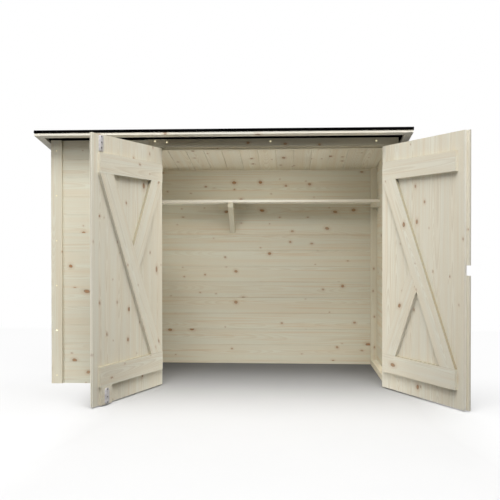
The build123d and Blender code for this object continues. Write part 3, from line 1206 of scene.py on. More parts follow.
@dataclass
class Trims:
    """Planed boards that cover the corners and frame the doorway.

    Attributes:
        pitch: slope of the roof.
        slit: open slit between the trims and the roof.
        ease: size of their eased edges.
        rng: source of their grain.
    """

    pitch: Pitch
    slit: float = 20 * MM
    ease: float = MM
    rng: random.Random = field(default_factory=lambda: random.Random(23))

    UPRIGHT = (
        "front_trim_left", "front_trim_right", "jamb_trim", "side_trims_left", "side_trims_right",
        "back_trims",
    )

    def build(self) -> None:
        """Build the corner trims and the header."""
        for node in self.UPRIGHT:
            pieces = [timber(span, Way.UP, self.rng, self.ease) for span in solids_of(node)]
            trim = join(node + "_boards", pieces)
            self.pitch.crop(trim, self.slit)
            finish_piece(join(trim.name, [trim]), TRIM, "shed", "trim_timber", node)
        # The header is dressed in darker spruce, as painted shade.
        header = timber(Span.of("header_board"), Way.ACROSS, self.rng, self.ease)
        self.pitch.crop(header, self.slit)
        finish_piece(join("header_trim", [header]), HEADER_PAINTED_SHADE, "shed", "trim_timber", "header_board")
        # The header's underside gets painted shade.
        face_finish(header, PAINTED_SHADE_FACES, lambda normal: normal.z < -TURNED)


@dataclass
class Roof:
    """Deck of boards, laths under its edges and the felt over it.

    Attributes:
        pitch: slope of the roof.
        board: visible width of a deck board.
        joint: place of one joint across the roof.
        bevel: bevel beside each joint of the deck.
        gap: open joint between two deck boards.
        ease: size of the eased edges of a lath.
        felt: thickness of the felt.
        fold: radius of the fold over the edges.
        sharp: least angle of an edge that is folded, in radians.
        cells: fields of the felt's mesh, across and down.
        wave: how far the felt lies uneven.
        calm: share of that height which the swells use.
        swells: how many swells make it uneven.
        pace: slowest and fastest swell, in radians to the metre.
        phase: greatest shift of a swell, in radians.
        lining: thickness of the black felt under the eaves, which is painted shade.
        slit: height of the slit above the trims that its black strips close, as painted shade.
        rng: source of the grain.
        gusts: source of the swells.
    """

    pitch: Pitch
    board: float = 130.3 * MM
    joint: float = 223.0 * MM
    bevel: float = 2.4 * MM
    gap: float = 2.0 * MM
    ease: float = 0.7 * MM
    felt: float = 2.4 * MM
    fold: float = 1.2 * MM
    sharp: float = 1.0
    cells: tuple[int, int] = (84, 36)
    wave: float = 0.3 * MM
    calm: float = 0.8
    swells: int = 6
    pace: Pair = (2, 9)
    phase: float = 6
    lining: float = 1.2 * MM
    slit: float = 18 * MM
    rng: random.Random = field(default_factory=lambda: random.Random(37))
    gusts: random.Random = field(default_factory=lambda: random.Random(5))

    def build(self) -> None:
        """Build the deck, the laths and the felt."""
        self.deck()
        for run, sides in ((Way.ACROSS, ("front", "back")), (Way.DEEP, ("left", "right"))):
            for side in sides:
                self.lath("roof_lath_" + side, run)
        self.cover()
        self.eaves()

    def eaves(self) -> None:
        """Line the underside of the eaves with black felt and close the slit above the trims with black
        strips, as painted shade where the deep shade under the eaves falls.
        """
        walls = [Span.of(node) for node, _, _ in Carcass.WALLS if node != "front_over_door"]
        low = Vector([min(span.lo[way] for span in walls) for way in range(3)])
        high = Vector([max(span.hi[way] for span in walls) for way in range(3)])
        deck, edge = Span.of("roof_boards"), self.lining
        left, right = Span.of("side_trims_left").lo.x, Span.of("side_trims_right").hi.x
        places = (
            ((deck.lo.x, deck.lo.y), (deck.hi.x, low.y), edge),
            ((deck.lo.x, high.y), (deck.hi.x, deck.hi.y), edge),
            ((deck.lo.x, low.y), (low.x, high.y), edge),
            ((high.x, low.y), (deck.hi.x, high.y), edge),
            # Black strips that close the slit above the trims: painted shade.
            ((left, low.y - edge), (right, low.y), self.slit),
            ((left, high.y), (right, high.y + edge), self.slit),
            ((low.x - edge, low.y), (low.x, high.y), self.slit),
            ((high.x, low.y), (high.x + edge, high.y), self.slit),
        )
        sheets = [self.sheet(Vector(near), Vector(far), drop) for near, far, drop in places]
        finish_piece(join("eaves_felt_painted_shade", sheets), BITUMEN, "shed", "roofing_felt")

    def sheet(self, near: Vector, far: Vector, drop: float) -> Object:
        """Lay a piece of felt against the underside of the deck.

        Args:
            near: its corner with the lowest x and y.
            far: its corner with the highest x and y.
            drop: how far it hangs below the deck.

        Returns:
            The piece.
        """
        size = far - near
        middle = self.pitch.at((near.y + far.y) / 2)
        spot = Vector(((near.x + far.x) / 2, middle.y, middle.z - drop / 2))
        piece = settle(block((size.x, size.y, drop)), Matrix.Translation(spot))
        for point in piece.data.vertices:
            point.co.z -= (point.co.y - middle.y) * self.pitch.fall
        return piece

    def deck(self) -> None:
        """Lay the deck boards down the slope, bevelled below."""
        span, down, normal = Span.of("roof_boards"), self.pitch.down, self.pitch.normal
        thickness = (span.hi.z - self.pitch.at(span.lo.y).z) * normal.z
        profile = BoardProfile(self.board, thickness, self.bevel, self.bevel, self.gap)
        corner = self.pitch.at(span.lo.y) - down * thickness + normal * thickness / 2
        boards = profile.lay(
            span.size.y / down.y + 2 * thickness, (span.lo.x, span.hi.x), self.joint, self.rng,
            lambda at: frame_matrix(down, Way.ACROSS.unit, corner + Way.ACROSS.unit * at),
        )
        deck = join("roof_deck_boards", boards)
        for way in (Way.ACROSS, Way.DEEP):
            saw(deck, span.lo, -way.unit)
            saw(deck, span.hi, way.unit)
        finish_piece(join(deck.name, [deck]), DECK, "shed", "roof_timber", "roof_boards")

    def lath(self, node: str, run: Way) -> None:
        """Build one lath under the edge of the deck.

        Args:
            node: its CAD node.
            run: the way it runs.
        """
        span, down, normal = Span.of(node), self.pitch.down, self.pitch.normal
        upright = span.size.z - span.size.y * self.pitch.fall
        tall = upright * normal.z
        slope = span.size.y / down.y + 2 * tall
        if run is Way.ACROSS:
            along, across, size = Way.ACROSS.unit, down, (span.size.x, slope, tall)
        else:
            along, across, size = down, Way.ACROSS.unit, (slope, span.size.x, tall)
        piece = block(size)
        grain(piece, self.rng)
        middle = self.pitch.at(span.middle.y) - normal * tall / 2
        middle.x = span.middle.x
        settle(piece, frame_matrix(along, across, middle))
        saw(piece, span.lo, -Way.DEEP.unit)
        saw(piece, span.hi, Way.DEEP.unit)
        bevel(piece, along, self.ease)
        # The lath is dressed in near-white spruce, as painted light.
        finish_piece(join(node + "_strip", [piece]), LATH_PAINTED_LIGHT, "shed", "trim_timber", node)

    def cover(self) -> None:
        """Lay the felt over the deck and fold it down over the edges."""
        span, down = Span.of("roof_felt"), self.pitch.down
        rise = span.hi.z - self.pitch.at(span.lo.y).z
        bpy.ops.mesh.primitive_grid_add(x_subdivisions=self.cells[0], y_subdivisions=self.cells[1], size=1)
        sheet = bpy.context.object
        sheet.scale = (span.size.x, span.size.y / down.y, 1)
        settle(sheet)
        middle = self.pitch.at(span.middle.y) + Way.UP.unit * (rise - self.wave)
        settle(sheet, frame_matrix(Way.ACROSS.unit, down, middle))
        with editing(sheet) as mesh:
            for edge in mesh.edges:
                edge.select_set(edge.is_boundary)
            bpy.ops.mesh.extrude_region_move(TRANSFORM_OT_translate={"value": (0, 0, self.wave - rise)})
        self.swell(sheet, rise / 2)
        modify(sheet, "SOLIDIFY", thickness=self.felt, offset=-1)
        modify(sheet, "BEVEL", width=self.fold, segments=3, limit_method="ANGLE", angle_limit=self.sharp)
        smooth(join("roof_felt_sheet", [sheet]))
        finish_piece(sheet, BITUMEN, "shed", "roofing_felt", "roof_felt")
        face_finish(sheet, FELT, lambda normal: normal.z > ALONG)

    def swell(self, sheet: Object, above: float) -> None:
        """Make the top of the felt uneven.

        Args:
            sheet: the felt.
            above: height over the underside of the deck at which its top begins.
        """
        draw = self.gusts.uniform
        swells = [(draw(*self.pace), draw(*self.pace), draw(0, self.phase)) for _ in range(self.swells)]
        for point in sheet.data.vertices:
            x, y, z = point.co
            if z > self.pitch.at(y).z + above:
                swell = sum(math.sin(a * x + b * y + c) for a, b, c in swells) / self.swells
                point.co.z += self.wave * swell * self.calm


@dataclass
class Shelf:
    """Board along the back wall, with its cleats and bracket.

    Attributes:
        room: space between the shelf and the posts that it is sawn out round.
        rng: source of the grain.
    """

    room: float = MM
    rng: random.Random = field(default_factory=lambda: random.Random(41))

    # The shelf board is dressed in near-white spruce, as painted light.
    PARTS = (
        ("shelf", Way.ACROSS, LATH_PAINTED_LIGHT), ("shelf_end_cleats", Way.DEEP, BATTEN),
        ("shelf_wall_cleat", Way.ACROSS, BATTEN), ("shelf_arm", Way.DEEP, BATTEN),
    )

    def build(self) -> None:
        """Build the shelf, its cleats, the arm and the strut."""
        for node, run, finish in self.PARTS:
            pieces = [timber(span, run, self.rng) for span in solids_of(node)]
            if node == "shelf":
                self.notch(pieces[0])
            finish_piece(join(node + "_timber", pieces), finish, "shed", "frame_timber", node)
        self.strut()

    def notch(self, board: Object) -> None:
        """Saw the shelf's back corners out round the posts.

        Args:
            board: the shelf.
        """
        span = Span.of("shelf")
        for post, side in ((Span.of("back_post_left"), -1), (Span.of("back_post_right"), 1)):
            inner = post.hi.x if side < 0 else post.lo.x
            near = Vector((inner - side * self.room, post.lo.y - self.room, span.lo.z - 1))
            far = Vector((span.hi.x * side + side, span.hi.y + 1, span.hi.z + 1))
            size = [abs(value) for value in far - near]
            waste = settle(block(size), Matrix.Translation((near + far) / 2))
            modify(board, "BOOLEAN", operation="DIFFERENCE", object=waste, solver="EXACT")
            bpy.data.objects.remove(waste)

    def strut(self) -> None:
        """Saw the strut that runs at 45 degrees from the arm to the wall."""
        span = Span.of("shelf_strut")
        tops = [v.co.y for v in bpy.data.objects["shelf_strut"].data.vertices if v.co.z > span.hi.z - MM]
        thick = (max(tops) - min(tops)) * math.sqrt(0.5)
        piece = block((span.size.y * 3, span.size.x, thick), EASE)
        grain(piece, self.rng)
        middle = Vector((span.middle.x, span.lo.y + thick * math.sqrt(0.5), span.hi.z))
        settle(piece, frame_matrix(Vector((0, 1, -1)).normalized(), Way.ACROSS.unit, middle))
        saw(piece, span.hi, Way.UP.unit)
        saw(piece, span.hi, Way.DEEP.unit)
        finish_piece(join("shelf_strut_timber", [piece]), BATTEN, "shed", "frame_timber", "shelf_strut")


@dataclass
class Leaf:
    """One door leaf, built closed and then turned open.

    Attributes:
        side: left or right.
        joint: its joint in the frame.
        rng: source of its grain.
        boards: how many boards make up the leaf.
        ease: size of the eased edges of its ledges and braces.
        closing: turn from the open place to the closed one.
        opening: turn from the closed place to the open one.
        body: its body in the frame.
        hand: 1 where it reaches from its hinges towards positive X, and -1 where it reaches the other way.
    """

    side: str
    joint: dict
    rng: random.Random
    boards: int = 6
    ease: float = 0.7 * MM
    closing: Matrix = field(init=False)
    opening: Matrix = field(init=False)
    body: str = field(init=False)
    hand: int = field(init=False)

    def __post_init__(self) -> None:
        """Work out the turn between the closed and the open place."""
        pivot = Matrix.Translation(self.joint["pos_m"])
        turn = Matrix.Rotation(math.radians(self.joint["range_deg"][0]), 4, Vector(self.joint["axis"]))
        self.closing = pivot @ turn @ pivot.inverted()
        self.opening = self.closing.inverted()
        self.body = self.side + "_door"
        self.hand = 1 if self.side == "left" else -1

    def closed(self, part: str) -> list[Span]:
        """Boxes of a part of this leaf in its closed place."""
        return solids_of(f"{self.body}_{part}", self.closing)

    def hang(self, name: str, pieces: list[Object], finish: Finish, slot: str, *nodes: str) -> Object:
        """Turn pieces of the closed leaf open and finish them as one."""
        return finish_piece(settle(join(name, pieces), self.opening), finish, self.body, slot, *nodes)

    def build(self) -> None:
        """Build the boards, the ledges and the braces."""
        span = self.closed("boards")[0]
        profile = BoardProfile(span.size.x / self.boards, span.size.y)
        boarding = Boarding(span, Way.UP.unit, -Way.ACROSS.unit, profile, -span.hi.x)
        boards = boarding.build("face", self.rng)
        face = self.hang(self.body + "_face", [boards], DOOR, "door_timber", self.body + "_boards")
        # The leaf's free edge gets painted light.
        free = self.opening.to_3x3() @ Way.ACROSS.unit * self.hand
        face_finish(face, EDGE, lambda normal: normal.dot(free) > ALONG)
        low, high = sorted(self.closed("ledges"), key=lambda span: span.lo.z)
        ledges = [timber(span, Way.ACROSS, self.rng, self.ease) for span in (low, high)]
        pair = self.hang(self.body + "_ledge_pair", ledges, DOOR, "door_timber", self.body + "_ledges")
        # Faces of the ledges that look up get painted shade.
        face_finish(pair, PAINTED_SHADE_FACES, lambda normal: normal.z > TURNED)
        self.brace(low, high)
        if self.side == "left":
            pad = timber(self.closed("block")[0], Way.ACROSS, self.rng)
            self.hang("bolt_block", [pad], DOOR, "door_timber", self.body + "_block")

    def brace(self, low: Span, high: Span) -> None:
        """Saw the long brace and the short one that meets it.

        Args:
            low: the bottom ledge.
            high: the top ledge.
        """
        width = low.size.z
        rise = high.lo.z - low.hi.z
        length = low.size.x
        diagonal = math.sqrt(rise**2 + length**2 - width**2)
        run = rise * (length * rise - width * diagonal) / (rise**2 - width**2)
        for part, lean in (("long", 1), ("short", -1)):
            along = Vector((run * lean, 0, rise)).normalized()
            across = Vector((along.z, 0, -along.x))
            middle = Vector((low.middle.x, low.middle.y, (low.hi.z + high.lo.z) / 2))
            piece = block((math.hypot(rise, run) + 2 * width, width, low.size.y), self.ease)
            grain(piece, self.rng)
            settle(piece, frame_matrix(along, across, middle))
            saw(piece, Vector((0, 0, low.hi.z)), -Way.UP.unit)
            saw(piece, Vector((0, 0, high.lo.z)), Way.UP.unit)
            if part == "short":
                self.butt(piece, middle, Vector((-along.x, 0, along.z)), width)
            node = f"{self.body}_{part}_brace"
            board = self.hang(node + "_board", [piece], DOOR, "door_timber", node)
            # Faces of a brace that look up get painted shade.
            face_finish(board, PAINTED_SHADE_FACES, lambda normal: normal.z > TURNED)
            # Faces of a brace that look down get painted light.
            face_finish(board, EDGE, lambda normal: normal.z < -TURNED)

    def butt(self, piece: Object, middle: Vector, along: Vector, width: float) -> None:
        """Saw the short brace where it meets the long one, and keep its free end.

        Args:
            piece: the short brace.
            middle: where the two would cross.
            along: direction of the long brace.
            width: width of the braces.
        """
        kept = self.closed("short_brace")[0].middle - middle
        normal = Vector((along.z, 0, -along.x))
        if normal.dot(kept) > 0:
            normal.negate()
        saw(piece, middle - normal * width / 2, normal)


@dataclass
class CoverStrip:
    """Strip on the right leaf that laps over the left one, rebated and notched.

    Attributes:
        leaf: the right leaf.
        flat: angle under which two faces of the strip are one, in radians.
    """

    leaf: Leaf
    flat: float = 0.01

    def build(self) -> None:
        """Take the strip's solid, merge its flat faces and write its grain along it."""
        copy = twin(bpy.data.objects["cover_strip"])
        copy.parent = None
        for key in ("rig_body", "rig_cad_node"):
            del copy[key]
        settle(copy, self.leaf.closing)
        with editing(copy, "VERT"):
            bpy.ops.mesh.select_all(action="SELECT")
            bpy.ops.mesh.remove_doubles(threshold=WELD)
            bpy.ops.mesh.select_all(action="SELECT")
            bpy.ops.mesh.dissolve_limited(angle_limit=self.flat)
        middle = sum((Vector(corner) for corner in copy.bound_box), Vector()) / len(copy.bound_box)
        turn = frame_matrix(Way.UP.unit, Way.ACROSS.unit, middle)
        settle(copy, turn.inverted())
        grain(copy, self.leaf.rng)
        settle(copy, turn)
        self.leaf.hang("cover_strip_board", [copy], DOOR, "door_timber", "cover_strip")


def plate(
    length: float, width: float, thickness: float, corner: float, tip: float = 0, near: bool = True
) -> Object:
    """A flat plate with rounded corners, from its own origin along X and up to its thickness along Z.

    Args:
        length: its length.
        width: its width across Y.
        thickness: its thickness.
        corner: radius of its corners.
        tip: width of its far end, where that differs.
        near: whether the near corners are rounded like the far ones.

    Returns:
        The plate, with the rim of its outer face eased.
    """
    bpy.ops.mesh.primitive_plane_add(size=1)
    piece = bpy.context.object
    piece.scale = (length, width, 1)
    settle(piece, Matrix.Translation((length / 2, 0, 0)))
    with editing(piece, "VERT") as mesh:
        if tip:
            pick(mesh, "verts", lambda place, lean: place.x > length / 2)
            bpy.ops.transform.resize(value=(1, tip / width, 1), center_override=(length, 0, 0))
        pick(mesh, "verts", lambda place, lean: near or place.x > length / 2)
        bpy.ops.mesh.bevel(offset=corner, segments=6, affect="VERTICES")
        bpy.ops.mesh.select_mode(type="EDGE")
        bpy.ops.mesh.select_all(action="SELECT")
        bpy.ops.mesh.extrude_region_move(TRANSFORM_OT_translate={"value": (0, 0, thickness)})
        pick(mesh, "edges", lambda place, lean: place.z > thickness * NEAR)
        bpy.ops.mesh.bevel(offset=PLATE_RIM, segments=2)
    return piece


def rod(radius: float, length: float, ease: float, sides: int = 24) -> Object:
    """A turned rod along X about its own origin, with eased rims.

    Args:
        radius: its radius.
        length: its length.
        ease: size of the eased rims.
        sides: how many sides it has.

    Returns:
        The rod.
    """
    turned = (0, math.pi / 2, 0)
    bpy.ops.mesh.primitive_cylinder_add(vertices=sides, radius=radius, depth=length, rotation=turned)
    piece = settle(bpy.context.object)
    with editing(piece) as mesh:
        pick(mesh, "edges", lambda place, lean: abs(place.x) > length / 2 * NEAR)
        bpy.ops.mesh.bevel(offset=ease, segments=2)
    return piece


def smooth(piece: Object) -> Object:
    """Shade a piece smooth where its faces turn gently.

    Args:
        piece: the piece.

    Returns:
        The same piece.
    """
    only(piece)
    bpy.ops.object.shade_smooth_by_angle(angle=SMOOTH_ANGLE)
    return piece


@dataclass
class Screws:
    """Countersunk wood screws of one body, seen by their heads.

    Attributes:
        name: name of the piece.
        finish: their plating.
        body: the body that they hold.
        radius: radius of a head.
        proud: how far a head stands out.
        recess: radius of the star recess.
        sides: corners of a head, and twice the points of its star.
        rounding: bevel of its rim, as a share of its height.
        deep: depth of the recess, as a share of its height.
        hollow: radius between the points of the star, as a share of the recess.
        spin: turn from one screw to the next, in radians.
        places: matrix of each head, which looks along its own Z.
    """

    name: str
    finish: Finish
    body: str
    radius: float = 4.2 * MM
    proud: float = 0.9 * MM
    recess: float = 2.1 * MM
    sides: int = 12
    rounding: float = 0.45
    deep: float = 1.2
    hollow: float = 0.68
    spin: float = 1.9
    places: list[Matrix] = field(default_factory=list)

    def drive(self, point: Vector, outward: Vector, place: Matrix = WHOLE) -> None:
        """Drive one screw.

        Args:
            point: where it enters the surface.
            outward: direction out of the surface.
            place: turn of the piece that it holds.
        """
        spin = Matrix.Rotation(self.spin * len(self.places), 4, "Z")
        lean = outward.to_track_quat("Z", "Y").to_matrix().to_4x4()
        self.places.append(place @ Matrix.Translation(point) @ lean @ spin)

    def head(self) -> Object:
        """Model one head with its star recess."""
        rim = self.proud * self.rounding
        turn = 2 * math.pi / self.sides
        bpy.ops.mesh.primitive_cylinder_add(vertices=self.sides, radius=self.radius, depth=2 * self.proud)
        piece = bpy.context.object
        with editing(piece) as mesh:
            pick(mesh, "edges", lambda place, lean: place.z > self.proud * NEAR)
            bpy.ops.mesh.bevel(offset=rim, segments=1)
            bpy.ops.mesh.select_mode(type="FACE")
            pick(mesh, "faces", lambda place, lean: lean.z > ALONG)
            bpy.ops.mesh.inset(thickness=self.radius - rim - self.recess)
            down = (0, 0, -self.deep * self.proud)
            bpy.ops.mesh.extrude_region_move(TRANSFORM_OT_translate={"value": down})
        with editing(piece, "VERT") as mesh:
            reach = (self.recess + self.radius - rim) / 2
            pick(mesh, "verts", lambda place, lean: place.xy.length < reach
                 and round(math.atan2(place.y, place.x) / turn) % 2 == 0)
            bpy.ops.transform.resize(value=(self.hollow, self.hollow, 1), center_override=(0, 0, 0))
        return piece

    def build(self) -> None:
        """Set a head at each place."""
        model = self.head()
        heads = [settle(twin(model), place) for place in self.places]
        bpy.data.objects.remove(model)
        finish_piece(join(self.name, heads), self.finish, self.body, "galvanised_steel")


@dataclass
class StrapHinges:
    """The two strap hinges of a leaf, and their plates and pins on the trim.

    Attributes:
        leaf: the leaf.
        on_leaf: screws that go into the leaf.
        on_shed: screws that go into the trim.
        tip: width of a strap at its tip.
        rounding: radius of the tip's corners, as a share of its width.
        strap: thickness of a strap.
        plate: thickness of a plate.
        wide: width of a plate.
        corner: radius of a plate's corners.
        knuckle: radius of the knuckles.
        rim: size of their eased rims.
        pin: radius of the pin.
        facets: how many sides the pin has.
        web: radius of the corners of a web.
        play: space between two knuckles.
        inset: distance of a plate's screws from its edges.
        holes: distances of a strap's screws from the pin.
    """

    leaf: Leaf
    on_leaf: Screws
    on_shed: Screws
    tip: float = 20 * MM
    rounding: float = 0.498
    strap: float = 2.5 * MM
    plate: float = 3 * MM
    wide: float = 40 * MM
    corner: float = 5 * MM
    knuckle: float = 5 * MM
    rim: float = 0.5 * MM
    pin: float = 2.5 * MM
    facets: int = 16
    web: float = 0.3 * MM
    play: float = MM
    inset: float = 11 * MM
    holes: tuple[float, ...] = (42 * MM, 128 * MM, 214 * MM, 300 * MM)

    def build(self) -> None:
        """Build both straps of the leaf and both plates."""
        pivot, hand = Vector(self.leaf.joint["pos_m"]), self.leaf.hand
        straps = []
        for span in self.leaf.closed("straps"):
            seat = Vector((pivot.x, span.hi.y, span.middle.z))
            place = frame_matrix(Vector((hand, 0, 0)), Vector((0, 0, hand)), seat)
            reach = max(abs(span.lo.x - pivot.x), abs(span.hi.x - pivot.x))
            straps += [settle(piece, place) for piece in self.arm(reach, span.size.z)]
            for hole in self.holes:
                point = place @ Vector((hole, 0, self.strap))
                self.on_leaf.drive(point, -Way.DEEP.unit, self.leaf.opening)
        node = self.leaf.body + "_straps"
        smooth(self.leaf.hang(node + "_steel", straps, ZINC, "galvanised_steel", node))
        for level, strap in zip(("bottom", "top"), self.leaf.closed("straps")):
            node = f"hinge_plate_{self.leaf.side}_{level}"
            span = Span.of(node)
            seat = Vector((pivot.x, span.hi.y, span.middle.z))
            place = frame_matrix(Vector((-hand, 0, 0)), Vector((0, 0, -hand)), seat)
            reach = max(abs(span.lo.x - pivot.x), abs(span.hi.x - pivot.x))
            height = seat.y - pivot.y
            pieces = self.base(reach - self.wide, span.size.z, strap.size.z, height)
            piece = join(node + "_steel", [settle(piece, place) for piece in pieces])
            finish_piece(smooth(piece), ZINC, "shed", "galvanised_steel", node)
            for x in (reach - self.wide + self.inset, reach - self.inset):
                for y in (self.inset - span.size.z / 2, span.size.z / 2 - self.inset):
                    self.on_shed.drive(place @ Vector((x, y, self.plate)), -Way.DEEP.unit)

    def arm(self, reach: float, width: float) -> list[Object]:
        """Model one strap along X from its knuckle.

        Args:
            reach: length from the pin to the tip.
            width: width at the knuckle.

        Returns:
            The strap and its knuckle.
        """
        strap = plate(reach, width, self.strap, self.tip * self.rounding, self.tip, near=False)
        knuckle = rod(self.knuckle, width, self.rim)
        return [strap, settle(knuckle, self.upright(self.knuckle))]

    @staticmethod
    def upright(height: float) -> Matrix:
        """Place of a rod that stands across X, with its axis at a height."""
        return Matrix.Translation((0, 0, height)) @ Matrix.Rotation(math.pi / 2, 4, "Z")

    def base(self, start: float, height: float, gap: float, axis: float) -> list[Object]:
        """Model the plate along X beside the pin, with its webs, its knuckles and the pin.

        Args:
            start: distance from the pin to the plate.
            height: height of the plate.
            gap: width of the strap that turns between its knuckles.
            axis: height of the pin above the trim.

        Returns:
            The plate, the webs, the knuckles and the pin.
        """
        long = (height - gap) / 2 - self.play
        upright = self.upright(axis)
        flat = plate(self.wide, height, self.plate, self.corner, near=False)
        pieces = [
            settle(flat, Matrix.Translation((start, 0, 0))),
            settle(rod(self.pin, height, MM, self.facets), upright),
        ]
        for side in (-1, 1):
            middle = side * (height - long) / 2
            knuckle = rod(self.knuckle, long, self.rim)
            pieces.append(settle(knuckle, Matrix.Translation((0, middle, 0)) @ upright))
            web = plate(self.plate, long, axis, self.web)
            pieces.append(settle(web, Matrix.Translation((start, middle, 0))))
        return pieces


@dataclass
class Bolt:
    """A flat slide bolt: plate, raised housing and three dark heads, two blued screws and between them a
    dark head whose darkness is painted shade for a thumb hole.

    Attributes:
        leaf: the leaf that carries it.
        node: its CAD node.
        screws: its dark heads, two blued screws and the painted-shade thumb hole.
        corner: radius of the corners of the plate.
        marks: places of the painted-shade thumb hole and the screws, as shares of the length.
        sheet: thickness of the plate.
        housing: width of the housing.
        height: height of the housing over the plate.
        margin: plate left free at the ends of the housing.
        rounding: greatest radius of the housing's corners, as a share of its width.
    """

    leaf: Leaf
    node: str
    screws: Screws
    corner: float
    marks: tuple[float, ...]
    sheet: float = 2 * MM
    housing: float = 27 * MM
    height: float = 3 * MM
    margin: float = 3 * MM
    rounding: float = 0.45

    def build(self) -> None:
        """Build the bolt on the inner face of the closed leaf, then open it."""
        span = solids_of(self.node, self.leaf.closing)[0]
        seat = Vector((span.middle.x, span.lo.y, span.lo.z))
        place = frame_matrix(Way.UP.unit, Way.ACROSS.unit, seat)
        length = span.size.z
        sheet = plate(length, span.size.x, self.sheet, self.corner)
        corner = min(self.corner, self.housing * self.rounding)
        case = plate(length - 2 * self.margin, self.housing, self.height, corner)
        settle(case, Matrix.Translation((self.margin, 0, self.sheet)))
        pieces = [settle(piece, place) for piece in (sheet, case)]
        smooth(self.leaf.hang(self.node + "_steel", pieces, BOLT_STEEL, "galvanised_steel", self.node))
        for share in self.marks:
            spot = Vector((share * length, 0, self.sheet + self.height))
            self.screws.drive(place @ spot, Way.DEEP.unit, self.leaf.opening)


@dataclass
class Fixings:
    """Screws through the trims, the header and the boards of the leaves.

    Attributes:
        shed: screws of the trims.
        face: screws of the header.
        spacing: greatest distance between two screws of a trim.
        foot: distance of the lowest one from the ground.
        head: distance of the highest one from the top.
        spread: distance of a ledge's screws from its middle, as a share of its height.
        header: places of the header's screws, across and up.
    """

    shed: Screws
    face: Screws
    spacing: float = 310 * MM
    foot: float = 56 * MM
    head: float = 92 * MM
    spread: float = 0.32
    header: tuple[Pair, ...] = (
        (-456.7 * MM, 1650 * MM), (-376.8 * MM, 1642.4 * MM),
        (324.2 * MM, 1642.9 * MM), (1028.6 * MM, 1640.7 * MM),
    )

    def build(self) -> None:
        """Drive the screws of the trims and of the header."""
        for node in Trims.UPRIGHT:
            for span in solids_of(node):
                self.column(span)
        face = Span.of("header_board").lo.y
        for x, z in self.header:
            self.face.drive(Vector((x, face, z)), -Way.DEEP.unit)

    def column(self, span: Span) -> None:
        """Drive the screws of one trim, one above the other.

        Args:
            span: box of the trim.
        """
        way = Way.ACROSS if span.size.x < span.size.y else Way.DEEP
        inside = Span.of("left_wall").middle.y if way is Way.DEEP else 0.0
        side = math.copysign(1.0, span.middle[way.value] - inside)
        low, high = self.foot, span.hi.z - self.head
        steps = math.ceil((high - low) / self.spacing)
        for number in range(steps + 1):
            point = span.middle
            point[way.value] = (span.hi if side > 0 else span.lo)[way.value]
            point.z = low + (high - low) * number / steps
            self.shed.drive(point, way.unit * side)

    def leaf(self, leaf: Leaf, screws: Screws) -> None:
        """Drive the screws through a leaf's boards into its ledges.

        Args:
            leaf: the leaf.
            screws: its screws.
        """
        face = leaf.closed("boards")[0]
        pitch = face.size.x / leaf.boards
        for ledge in leaf.closed("ledges"):
            for number in range(leaf.boards):
                x = face.lo.x + (number + 0.5) * pitch
                if ledge.lo.x < x < ledge.hi.x:
                    for rise in (-self.spread, self.spread):
                        point = Vector((x, face.lo.y, ledge.middle.z + rise * ledge.size.z))
                        screws.drive(point, -Way.DEEP.unit, leaf.opening)


@dataclass(frozen=True)
class Lamp:
    """A soft lamp.

    Attributes:
        name: its name.
        spot: its place.
        target: the point that it faces.
        size: its width and height.
        power: its power in watts.
    """

    name: str
    spot: Triple
    target: Triple
    size: Pair
    power: float

    def hang(self) -> None:
        """Hang the lamp and turn it to its target."""
        bpy.ops.object.light_add(type="AREA", location=self.spot)
        lamp = bpy.context.object
        lamp.name = self.name
        lamp.data.shape = "RECTANGLE"
        lamp.data.size, lamp.data.size_y = self.size
        lamp.data.energy = self.power
        lamp.rotation_euler = (Vector(self.target) - Vector(self.spot)).to_track_quat("-Z", "Y").to_euler()


